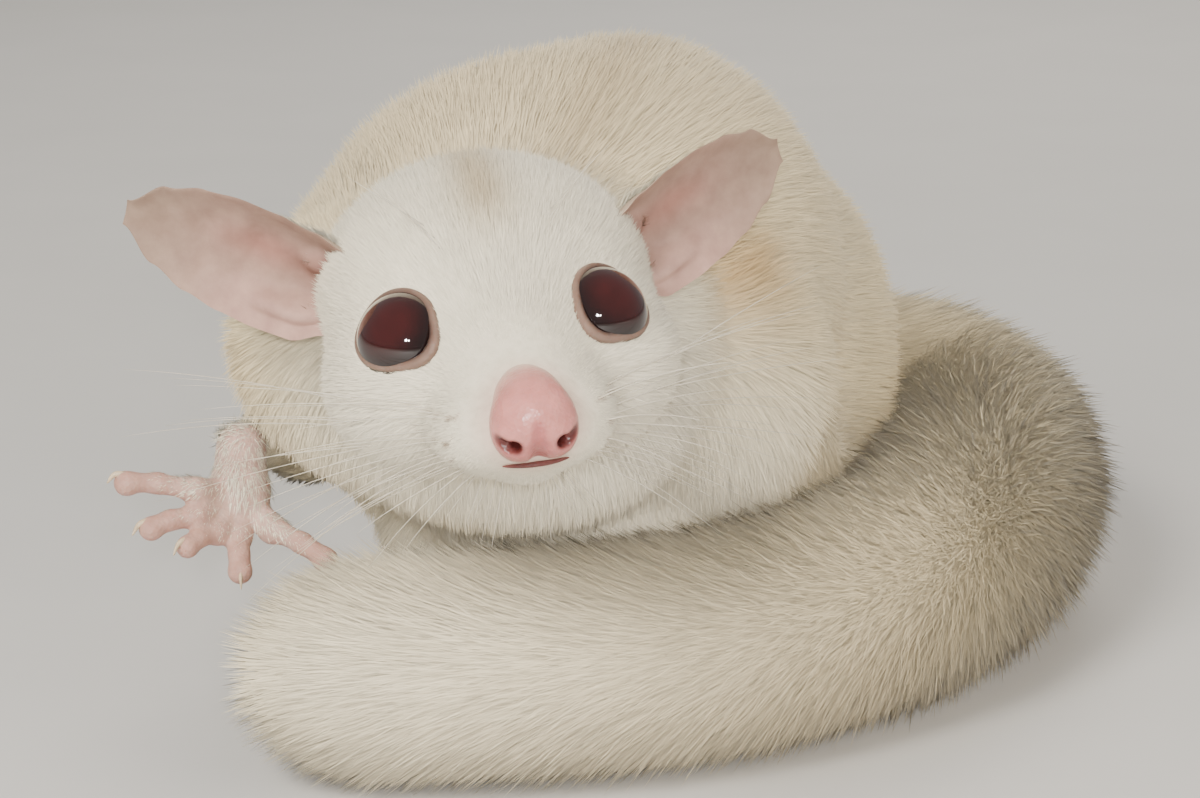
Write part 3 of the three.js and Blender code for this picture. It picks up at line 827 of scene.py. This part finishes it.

# The line of the mouth, between the lips: a dark tube that is painted shade in the crease
share = np.linspace(-1, 1, 41)
lips = np.stack([15.6 - 2 * np.abs(share) ** 1.5, 2.8 * share, -10.2 - 0.2 * np.abs(share)], -1)
inside_lips = lips * vec(0.4, 0.3, 1)
lip_line = inside_lips.copy()
for _ in range(220):
    sunk = face_local(lip_line) < -0.45
    lip_line[sunk] += 0.08 * unit(lips - inside_lips)[sunk]
lip_radius = 0.28 * np.sqrt(np.maximum(0.05, 1 - share**2))
lip = tube(from_head(lip_line), np.stack([lip_radius * 1.4, lip_radius], -1), 8)
# Painted shade in the crease between the lips
mouth_shade_tone = np.repeat(vec(0.13, 0.045, 0.04)[None], len(lip[0]), axis=0)
mouth = make_object("mouth_shade_line", lip[0], [lip[1], lip[2]], bare_skin, mouth_shade_tone)


# Ears

EAR_UPPER = [4.2, 5.2, 5.8, 6.0, 5.6, 4.4, 1.4]
EAR_LOWER = [5.4, 7.2, 7.2, 6.8, 6.0, 4.4, 1.4]
EAR_INSIDE, EAR_INSIDE_TIP = vec(0.53, 0.36, 0.29), vec(0.44, 0.32, 0.245)
EAR_BACK, EAR_BACK_TIP = vec(0.62, 0.50, 0.38), vec(0.42, 0.29, 0.21)
# the darkest of these is painted shade at the ear's opening
EAR_FOLD, EAR_CANAL_SHADE, EAR_BLUSH = vec(0.66, 0.43, 0.36), vec(0.24, 0.055, 0.045), vec(0.50, 0.20, 0.165)


def make_ear(side, name):
    """A cupped ear. Returns its back, the normals there, its axis, the share of its length and its rim."""
    root = vec(-13, side * 13.4, 0.6)
    tip = vec(-22, 31.4, 6.6) if side > 0 else vec(-22, -32.8, 8.6)
    length = np.linalg.norm(tip - root)
    axis = (tip - root) / length
    facing = vec(0.86, side * 0.5, -0.08)
    facing = unit(facing - (facing @ axis) * axis)
    width = np.cross(facing, axis) * side
    across, along = 64, 84
    u, v = np.meshgrid(np.linspace(0, 1, across), np.linspace(0, 1, along), indexing="xy")
    s = -0.06 + 1.06 * v
    w = mix(-profile(EAR_LOWER, s), profile(EAR_UPPER, s), u)
    part = 2 * u - 1
    curl = 1 - np.abs(part) ** 2.2
    hollow = 4.2 * (1 - 0.72 * s) * curl * np.sqrt(np.maximum(0.04, 1 - np.maximum(0, s) ** 4))
    ridges = 0.22 * np.sin(26 * s + 2.2 * part) * smooth(-0.9, -0.1, 0.1 - np.abs(part))
    ridges = ridges * smooth(0.12, 0.3, s) * (1 - smooth(0.62, 0.85, s))
    low_fold = 1.5 * np.exp(-(((part + 0.62) / 0.16) ** 2)) * (1 - smooth(0.25, 0.5, s))
    knob = 1.7 * np.exp(-(((part - 0.25) / 0.2) ** 2) - ((s - 0.12) / 0.09) ** 2)
    raised = 2.4 - hollow + 1.2 * s * (1 - s) + ridges + low_fold + knob
    sheet = root + s[..., None] * length * axis + w[..., None] * width + raised[..., None] * facing
    normal = unit(np.cross(np.gradient(sheet, axis=1), np.gradient(sheet, axis=0)))
    normal = normal * np.sign((normal @ facing).mean())
    thick = 0.34 + 0.5 * (1 - smooth(0, 0.35, v)) + 0.25 * (np.abs(part) > 0.97)
    rounded = np.sqrt(np.maximum(0, 1 - np.abs(part) ** 8)) * np.sqrt(np.maximum(0, 1 - v**14))
    half = (0.5 * thick * rounded)[..., None] * normal
    front, back = sheet + half, sheet - half
    a = (np.arange(along - 1)[:, None] * across + np.arange(across - 1)[None, :]).ravel()
    cells = np.stack([a, a + 1, a + across + 1, a + across], -1)
    if side > 0:
        cells = cells[:, ::-1]
    faces = np.concatenate([cells, cells[:, ::-1] + across * along])
    inner = tint(EAR_INSIDE, EAR_INSIDE_TIP, smooth(0.5, 1.0, s))
    inner = tint(inner, EAR_FOLD, (1 - smooth(-0.7, -0.2, part)) * (1 - smooth(0.35, 0.7, s)))
    # Painted shade at the ear's opening, near its root
    canal_shade = np.exp(-(((part - 0.1) / 0.42) ** 2) - ((s - 0.03) / 0.13) ** 2)
    inner = tint(inner, EAR_CANAL_SHADE, 0.9 * canal_shade)
    blush = np.exp(-(((part - 0.15) / 0.3) ** 2) - ((s - 0.38) / 0.2) ** 2)
    inner = tint(inner, EAR_BLUSH, 0.55 * blush)
    outer = tint(EAR_BACK, EAR_BACK_TIP, smooth(0.3, 0.9, s))
    points = np.concatenate([front.reshape(-1, 3), back.reshape(-1, 3)])
    tone = np.concatenate([inner.reshape(-1, 3), outer.reshape(-1, 3)])
    made = make_object("ear_cup_" + name, from_head(points), [faces], ear_skin, tone)
    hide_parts("ear_" + name)
    return back, -normal, axis, s, rounded


ear_backs = [make_ear(side, name) for side, name in SIDES]


# Hands, feet and claws

# Each palm's centre and radii, and for each digit its knuckle, tip, radius and claw's size, 0 for none
PAWS = {
    "hand_right": [
        (-38.6, -24.4, 26.8),
        (3.5, 3.6, 3.9),
        [
            ((-42.8, -29.2, 28.6), (-50.2, -31.5, 30.2), 1.35, 1.9),
            ((-42.6, -30.2, 26), (-47.6, -32.8, 25.4), 1.3, 1.9),
            ((-40.6, -29.8, 24), (-43.6, -33.6, 23.6), 1.2, 1.8),
            ((-38.4, -28.6, 23), (-37.8, -32.6, 20.2), 1.35, 1.9),
            ((-34.6, -27.6, 23.6), (-28.4, -31.6, 21.4), 1.4, 1.9),
        ],
    ],
    "hand_left": [
        (12.8, -9.6, 2.7),
        (3.5, 4.2, 3.1),
        [
            ((10, -10.6, 2.1), (7.2, -11.6, 1.2), 1.25, 1.4),
            ((10.2, -12.6, 2.4), (8.0, -15.4, 1.2), 1.3, 1.5),
            ((12.4, -13.4, 2.5), (11.6, -16.6, 1.2), 1.3, 1.4),
            ((14.6, -13.0, 2.4), (15.8, -15.6, 1.2), 1.3, 1.4),
            ((16, -10.6, 2.1), (19.2, -12.2, 1.2), 1.25, 1.4),
        ],
    ],
    "foot_right": [
        (-19.6, 24, 2.6),
        (4.1, 8.6, 3),
        [
            ((-15.6, 20.5, 2.1), (-11.6, 16.6, 1.3), 1.6, 0),
            ((-19.2, 15.2, 2.5), (-18.2, 9.4, 1.2), 1.25, 1.6),
            ((-20.6, 15.2, 2.5), (-20.8, 9.2, 1.2), 1.25, 1.6),
            ((-22.4, 15.6, 2.5), (-24.6, 8.6, 1.3), 1.4, 1.8),
            ((-23.6, 17.6, 2.4), (-28.4, 12, 1.3), 1.4, 1.8),
        ],
    ],
    "foot_left": [
        (26.2, 17.6, 2.6),
        (3.8, 8.4, 3),
        [
            ((22.6, 14, 2.1), (19.2, 10.4, 1.3), 1.6, 0),
            ((25.4, 9.2, 2.5), (24.4, 3.6, 1.2), 1.25, 1.6),
            ((26.8, 9.0, 2.5), (27, 3.2, 1.2), 1.25, 1.6),
            ((28.2, 9.4, 2.5), (29.4, 3.4, 1.3), 1.4, 1.6),
            ((28.8, 11, 2.4), (31.4, 6, 1.3), 1.35, 1.5),
        ],
    ],
}
# Wrists and ankles, with their radii
WRISTS = {
    "hand_right": (WRIST_RIGHT, 2.7),
    "hand_left": (WRIST_LEFT, 2.7),
    "foot_right": (ANKLE_RIGHT, 2.9),
    "foot_left": (ANKLE_LEFT, 2.9),
}
PALM, FINGERTIP, PAD = vec(0.60, 0.42, 0.35), vec(0.50, 0.315, 0.255), vec(0.62, 0.35, 0.30)
PAW_BASE, CLAW_BASE = 0.03, 0.05  # heights over the floor


def digit_forms(palm, knuckle, tip, thick):
    """Three lengths of one digit, with the pads under its tip and its root."""
    way = unit(tip - knuckle)
    start = mix(palm, knuckle, 0.3)
    joint = mix(knuckle, tip, 0.5) + UP * 0.25
    return [
        bar(start, knuckle, thick * 0.95, thick * 0.86),
        bar(knuckle, joint, thick * 0.84, thick * 0.72),
        bar(joint, tip - way * 0.6, thick * 0.72, thick * 0.74),
        egg(tip - way * 0.7 - UP * 0.22, np.full(3, thick * 0.86)),
        egg(mix(start, knuckle, 0.85) - UP * 0.5, np.full(3, thick * 0.95)),
    ]


def claw_tube(knuckle, tip, thick, size):
    way = unit(tip - knuckle)
    base = tip - way * thick * 0.7 + UP * thick * 0.42
    arch = base + way * size * 0.75 + UP * 0.15
    point = base + way * size * 1.25 - UP * size * 0.5
    radius = 0.5 * (1 - np.linspace(0, 1, 14)) ** 0.7 + 0.03
    return tube(spline([base, arch, point], 14), np.stack([radius * 0.7, radius], -1), 8)


def make_paw(name):
    """A hand or foot and its claws. Returns its surface, the reach to its fingertips and its wrist."""
    centre, radii, digits = PAWS[name]
    centre, radii = np.array(centre, float), np.array(radii, float)
    wrist, wrist_radius = WRISTS[name]
    wrist = np.array(wrist, float)
    forms = [egg(centre, radii * 0.93), bar(wrist, centre, wrist_radius, radii.min() * 0.85)]
    claws = []
    for knuckle, tip, thick, claw in digits:
        knuckle, tip = np.array(knuckle, float), np.array(tip, float)
        forms += digit_forms(centre, knuckle, tip, thick)
        if claw:
            claws.append(claw_tube(knuckle, tip, thick, claw))
    tips = np.array([tip for _, tip, _, _ in digits], float)
    low = np.min([tips.min(axis=0) - 3, centre - radii - 3, wrist - 4], axis=0)
    high = np.max([tips.max(axis=0) + 3, centre + radii + 3, wrist + 4], axis=0)
    field = above(blend(forms, 0.32), PAW_BASE)
    points, faces = net(field, low, high, 0.26, 3)
    normals = gradient(field, points, 0.3)
    reach = np.min([np.linalg.norm(points - tip, axis=1) for tip in tips], axis=0)
    tone = tint(PALM, FINGERTIP, 1 - smooth(2.5, 7, reach))
    tone = tint(tone, PAD, 0.5 * smooth(0.2, 0.8, -normals[:, 2]))
    made = make_object("skin_" + name, points, [faces], bare_skin, tone)
    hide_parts(name)
    claw_points, claw_faces = join_parts(claws)
    claw_points[:, 2] = np.maximum(claw_points[:, 2], CLAW_BASE)
    made = make_object("claws_" + name, claw_points, claw_faces, claw_horn)
    return points, faces, normals, reach, wrist


paw_skins = [make_paw(name) for name in PAWS]


# Coat

TUFTS = {"face": 125440, "body": 192000, "tail": 160000, "each ear": 7000, "each paw": 1600}
SHARE = 1.0
THICKEN = 1 / math.sqrt(min(1, SHARE * 2))  # fewer tufts are wider
UV_PATCH = 0.0015  # half the width of a tuft's patch
RIDGE = 0.55  # height of a tuft's ridge over its middle line, in half widths
HAIR_BASE = 0.08  # least height of hair over the floor
BEHIND_EYE = 9.0  # added to the gap of what lies behind an eye


def atlas(p, n, low, high):
    """A place on an unwrap of the skin: six charts, one for each way that it can face."""
    main = np.abs(n).argmax(axis=1)
    sign = np.take_along_axis(n, main[:, None], axis=1)[:, 0] > 0
    chart = main * 2 + sign
    share = (p - low) / (high - low)
    first = np.where(main == 0, share[:, 1], share[:, 0])
    second = np.where(main == 2, share[:, 1], share[:, 2])
    u = (chart % 3 + 0.04 + 0.92 * np.clip(first, 0, 1)) / 3
    v = (chart // 3 + 0.04 + 0.92 * np.clip(second, 0, 1)) / 2
    return np.stack([u, v], -1)


def scatter(v, f, weight, count):
    """Random points on quads, more where the weight is larger. Returns each point's face and place."""
    a, b, c, d = (v[f[:, i]] for i in range(4))
    area = np.linalg.norm(np.cross(c - a, d - b), axis=1) / 2 * weight
    pick = rng.choice(len(f), count, p=area / area.sum())
    s, t = rng.random((2, count, 1))
    p = mix(mix(a[pick], b[pick], s), mix(d[pick], c[pick], s), t)
    return pick, p


def coat(name, root, normal, flow, length, width, rise, colour, uv):
    """Tufts, each a slim three-sided spike that leans along the flow."""
    n = len(root)
    vary = np.clip(rng.normal(0, 1, (n, 3)), -2, 1.6)
    flow = unit(flow - (flow * normal).sum(1, keepdims=True) * normal)
    flow = unit(flow + 0.13 * vary[:, :1] * np.cross(normal, flow))
    rise = (rise * (1 + 0.22 * vary[:, 1]))[:, None]
    way = flow * np.cos(rise) + normal * np.sin(rise)
    root = root - normal * TUCK
    tip = root + way * (length * (1 + 0.15 * vary[:, 2]))[:, None]
    roll = rng.normal(0, 0.4, (n, 1))
    side = unit(np.cross(way, normal))
    over = np.cross(side, way)
    side, over = side * np.cos(roll) + over * np.sin(roll), over * np.cos(roll) - side * np.sin(roll)
    side = side * (width / 2)[:, None]
    over = over * (width / 2 * RIDGE)[:, None]
    points = np.stack([root - side - over * 0.5, root + side - over * 0.5, root + over, tip], 1)
    points[..., 2] = np.maximum(points[..., 2], HAIR_BASE)
    soft_normal = unit(normal + 0.13 * rng.normal(0, 1, (n, 3)) + 0.2 * UP)
    base = np.arange(n)[:, None] * 4
    sides = np.concatenate([base + np.array(corners) for corners in ((0, 3, 1), (1, 3, 2), (2, 3, 0))])
    tone = colour * (1 + 0.04 * rng.normal(0, 1, (n, 1)))
    # Painted shade at each tuft's root: the three root corners darker than the tip
    tone = tone[:, None] * np.array([0.95, 0.95, 0.95, 1.03])[None, :, None]
    patch = np.array([[-1, -1], [1, -1], [0, 0], [0, 1]]) * UV_PATCH
    made = make_object(
        name,
        points.reshape(-1, 3),
        [sides],
        hair,
        colour=np.clip(tone, 0, 0.95).reshape(-1, 3),
        normals=np.repeat(soft_normal, 4, axis=0),
        uv=(uv[:, None] + patch[None]).reshape(-1, 2),
    )


def coat_in_pieces(name, pieces, which, **values):
    """The coat in several pieces, each with a random share of the tufts."""
    for i, part in enumerate(np.array_split(rng.permutation(which), pieces)):
        coat(f"{name}_{i + 1}", **{key: value[part] for key, value in values.items()})


def thin_coat(name, patches, width, margin):
    """One piece over several small parts. patches hold (root, normal, flow, length, colour)."""
    root, normal, flow, length, colour = (np.concatenate(values) for values in zip(*patches))
    width, rise = np.full(len(root), width), np.full(len(root), 0.3)
    place = atlas(root, normal, body_low - margin, body_high + margin)
    coat(name, root, normal, flow, length, width, rise, colour, place)


def beside_eye(q, centre, axis):
    """Distance from an eye's axis, made larger behind the eye."""
    gap = np.linalg.norm(np.cross(q - centre, axis), axis=1)
    return gap + BEHIND_EYE * ((q - centre) @ axis < 0)


body_low, body_high = verts.min(axis=0), verts.max(axis=0)
middles = verts[quads].mean(axis=1)
regions_there = region_of(middles)
head_q = to_head(middles)
eye_gap = np.min([beside_eye(head_q, *eye_place(side)) for side, _ in SIDES], axis=0)
nose_gap = nose_forms(head_q)
clear = (eye_gap > EYE_SHOWN + 0.4) & (nose_gap > 0.05) & (middles[:, 2] > 0.7)

# Short plush of the face, longer over the cheeks and the crown
on_face = regions_there == "face"
weight = on_face * clear * mix(1.6, 1.0, smooth(-14, 4, -head_q[:, 0]))
pick, root = scatter(verts, quads, weight, int(TUFTS["face"] * SHARE))
q = to_head(root)
normal = gradient(body, root)
flow = unit(q - (NOSE + vec(2.5, 0, 0.5)))
flow[:, 0] = np.minimum(flow[:, 0], -0.2)
flow[:, 2] -= 0.25 * smooth(2, -8, q[:, 2])
from_nose = nose_gap[pick]
length = mix(0.7, 2.6, smooth(0.3, 11, from_nose)) + 1.8 * smooth(-8, -20, q[:, 0])
length = length * mix(0.42, 1, smooth(EYE_SHOWN + 0.2, EYE_SHOWN + 3.5, eye_gap[pick]))
coat_in_pieces(
    "coat_face",
    2,
    len(root),
    root=root,
    normal=normal,
    flow=flow @ HEAD,
    length=length,
    width=mix(0.13, 0.22, smooth(1, 13, from_nose)) * THICKEN,
    rise=mix(0.26, 0.34, smooth(2, 14, from_nose)),
    colour=markings_and_shade(root),
    uv=atlas(root, normal, body_low, body_high),
)

# Soft coat of the neck, trunk, limbs and folds
LIE = {
    "arm_right": (-0.3, -1, 0.1),
    "arm_left": (-0.4, -0.3, -1),
    "leg_right": (0, 0.5, -1),
    "leg_left": (0, 0.5, -1),
}
HAIR_LENGTH = {"neck": 4.6, "trunk": 5.6}
for side in ("left", "right"):
    HAIR_LENGTH["arm_" + side] = 2.6
    HAIR_LENGTH["leg_" + side] = 3.0
    HAIR_LENGTH["fold_" + side] = 4.2
weight = ~on_face * (middles[:, 2] > 0.7) * mix(0.45, 1.0, smooth(4, 16, middles[:, 2]))
weight = weight * mix(0.8, 1.5, smooth(20, -20, middles[:, 1]))
pick, root = scatter(verts, quads, weight, int(TUFTS["body"] * SHARE))
normal = gradient(body, root)
region = regions_there[pick]
chest = smooth(-8, -26, root[:, 1]) * (1 - smooth(32, 50, root[:, 2]))
flow = tint(vec(0.24, 1.0, -0.42), vec(0, 0.45, -1), chest)
for name, way in LIE.items():
    flow[region == name] = way
length = np.array([HAIR_LENGTH[name] for name in region])
to_wrist = np.linalg.norm(root - vec(*WRIST_RIGHT), axis=1)
length = length * mix(0.45, 1, smooth(1, 12, to_wrist))
coat_in_pieces(
    "coat_body",
    3,
    len(root),
    root=root,
    normal=normal,
    flow=flow,
    length=length,
    width=np.where(length < 3.2, 0.2, 0.3) * THICKEN,
    rise=np.full(len(root), 0.27),
    colour=markings_and_shade(root),
    uv=atlas(root, normal, body_low, body_high),
)

# Bushy tail: long hair in loose clumps that lean towards the tip
CLUMPS = 5200
count = int(TUFTS["tail"] * SHARE)
clump_at = rng.random(CLUMPS) * 0.97 + 0.015
clump_angle = rng.random(CLUMPS) * 2 * math.pi
own = rng.integers(0, CLUMPS, count)
at = np.clip(clump_at[own] + rng.normal(0, 2.6 / tail_length, count), 0.0, 0.998)
angle = clump_angle[own] + rng.normal(0, 0.24, count)
spot = at * (len(tail_line) - 1)
before = np.minimum(spot.astype(int), len(tail_line) - 2)
past = (spot - before)[:, None]


def on_line(values):
    return mix(values[before], values[before + 1], past)


out = on_line(tail_side) * np.cos(angle)[:, None] + on_line(tail_up) * np.sin(angle)[:, None]
root = on_line(tail_line) + out * tail_core(at)[:, None]
tangent = on_line(tail_tangent)
pull = 0.2 * (clump_angle[own] - angle)
lean = mix(0.72, 1.05, rng.random(count)) * (1 - 0.25 * smooth(0.90, 1.0, at))
in_rump = (at < 0.1) & (body(root) < -2.0)
coat_in_pieces(
    "coat_tail",
    3,
    np.nonzero(~in_rump)[0],
    root=root,
    normal=out,
    flow=tangent + pull[:, None] * np.cross(tangent, out),
    length=1.9 * (COAT - CORE) * profile(COAT_AT, at),
    width=np.full(count, 0.36) * THICKEN,
    rise=0.53 * lean,
    colour=markings_and_shade(root, at),
    uv=np.stack([0.03 + 0.94 * at, 0.03 + 0.94 * ((angle / (2 * math.pi)) % 1)], -1),
)

# Down on the backs of the ears, longer at their roots
patches = []
for back, normal, axis, s, rounded in ear_backs:
    weight = ((1 - 0.75 * smooth(0.1, 0.9, s)) * smooth(0.82, 0.96, rounded)).ravel()
    pick = rng.choice(np.arange(weight.size), int(TUFTS["each ear"] * SHARE), p=weight / weight.sum())
    jitter = np.clip(rng.normal(0, 0.08, (len(pick), 3)), -0.12, 0.12)
    root = from_head((back + 0.3 * normal).reshape(-1, 3)[pick] + jitter)
    flow = np.repeat((axis @ HEAD)[None], len(pick), axis=0)
    length = mix(2.2, 0.7, smooth(0, 0.5, s).ravel()[pick])
    colour = np.repeat(mix(WHITE, CREAM, 0.4)[None], len(pick), axis=0)
    patches.append((root, (normal.reshape(-1, 3) @ HEAD)[pick], flow, length, colour))
thin_coat("coat_ears", patches, 0.16, 30)

# Thin hair on the backs of the hands and feet
patches = []
for points, faces, normals, reach, wrist in paw_skins:
    facing = normals[faces[:, 0]]
    gap = reach[faces[:, 0]]
    weight = smooth(2.2, 7, gap) * smooth(-0.3, 0.5, facing[:, 2]) + 1e-6
    pick, root = scatter(points, faces, weight, int(TUFTS["each paw"] * SHARE))
    length = mix(0.9, 1.8, smooth(4, 10, gap[pick]))
    colour = np.repeat(WHITE[None], len(root), axis=0)
    patches.append((root, facing[pick], root - wrist, length, colour))
thin_coat("coat_paws", patches, 0.15, 20)


# Whiskers


def whisker(root, way, length, sag, radius=0.055):
    """root and way in the head's frame."""
    at = np.linspace(0, 1, 12)
    bend = UP * sag * at[:, None] ** 2
    line = from_head(root) + unit(way @ HEAD) * length * at[:, None] - bend
    return tube(line, radius * (1 - at) ** 0.8 + 0.012, 5)


LONGEST = 26
whiskers = []
for side, row, column, root in whisker_rows:
    length = (13 + 3.4 * column) * (1 + 0.12 * rng.normal()) * (1 - 0.05 * row)
    back = vec(-0.15 - 0.10 * column, side * 1.0, 0.20 - 0.2 * row)
    way = unit(back + 0.08 * rng.normal(0, 1, 3))
    whiskers.append(whisker(root, way, min(length, LONGEST), 1.2 + 2.2 * rng.random()))
for side in (-1, 1):
    for k in range(3):
        root = on_face_at(vec(-3 - 1.5 * k, side * 3.5, 2), vec(0.3, side * 0.35, 1))
        whiskers.append(whisker(root, vec(-0.35, side * (0.6 + 0.2 * k), 0.8), 8 + k, 0.2, 0.05))
    for k in range(7):
        root = on_face_at(vec(7 - 1.5 * k, side * (0.8 + 0.35 * k), -10), vec(0.25, side * 0.2, -1))
        way = unit(vec(0.1, side * (0.15 + 0.12 * k), -1) + 0.1 * rng.normal(0, 1, 3))
        whiskers.append(whisker(root, way, 5.5 + 3 * rng.random(), -0.4, 0.045))
whisker_verts, whisker_faces = join_parts(whiskers)
made = make_object("whiskers", whisker_verts, whisker_faces, whisker_hair)


# Floor, lights and camera, in metres

FLOOR_HALF = 3.0
CAMERA_PLACE = (0, -0.3458, 0.1293)
CAMERA_DOWN = math.radians(16)
LENS = 94.5
BODY_MIDDLE, FACE_MIDDLE = (0, 0, 0.035), (-0.01, -0.05, 0.05)

floor = bpy.data.meshes.new("floor")
corners = [(x * FLOOR_HALF, y * FLOOR_HALF, 0) for x, y in ((-1, -1), (1, -1), (1, 1), (-1, 1))]
floor.from_pydata(corners, [], [(0, 1, 2, 3)])
floor.materials.append(pale_floor)
ground = bpy.data.objects.new("floor", floor)
bpy.context.scene.collection.objects.link(ground)
ground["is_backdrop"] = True


def area_light(name, place, target, size, power, colour, shown=False):
    data = bpy.data.lights.new(name, "AREA")
    data.shape = "DISK"
    data.size = size
    data.energy = power
    data.color = colour
    made = bpy.data.objects.new(name, data)
    made.location = Vector(place)
    made.rotation_euler = (Vector(target) - Vector(place)).to_track_quat("-Z", "Y").to_euler()
    made.visible_glossy = shown
    bpy.context.scene.collection.objects.link(made)


area_light("key", (-0.30, -0.42, 0.48), BODY_MIDDLE, 0.30, 5.5, (1.0, 0.965, 0.90))
area_light("fill", (0.50, -0.35, 0.25), BODY_MIDDLE, 0.5, 1.9, (1.0, 0.94, 0.86))
area_light("back", (0.15, 0.5, 0.45), BODY_MIDDLE, 0.4, 2.2, (1.0, 0.96, 0.9))
area_light("catch", (-0.005, -0.40, 0.155), FACE_MIDDLE, 0.026, 0.9, (1.0, 1.0, 1.0), True)
area_light("catch_low", (0.03, -0.38, 0.145), FACE_MIDDLE, 0.014, 0.25, (1.0, 0.95, 0.9), True)

world = bpy.data.worlds.new("studio")
world.use_nodes = True
world.node_tree.nodes["Background"].inputs["Color"].default_value = (1.0, 0.985, 0.96, 1)
world.node_tree.nodes["Background"].inputs["Strength"].default_value = 0.31
bpy.context.scene.world = world

camera_data = bpy.data.cameras.new("camera")
camera_data.lens = LENS
camera_data.sensor_width = 36
camera_data.clip_start = 0.01
camera_data.clip_end = 20
camera = bpy.data.objects.new("camera", camera_data)
camera.location = CAMERA_PLACE
camera.rotation_euler = (math.radians(90) - CAMERA_DOWN, 0, 0)
bpy.context.scene.collection.objects.link(camera)
bpy.context.scene.camera = camera

full_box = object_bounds()
[[list(map(float, corner)) for corner in box] for box in (cad_box, full_box)]
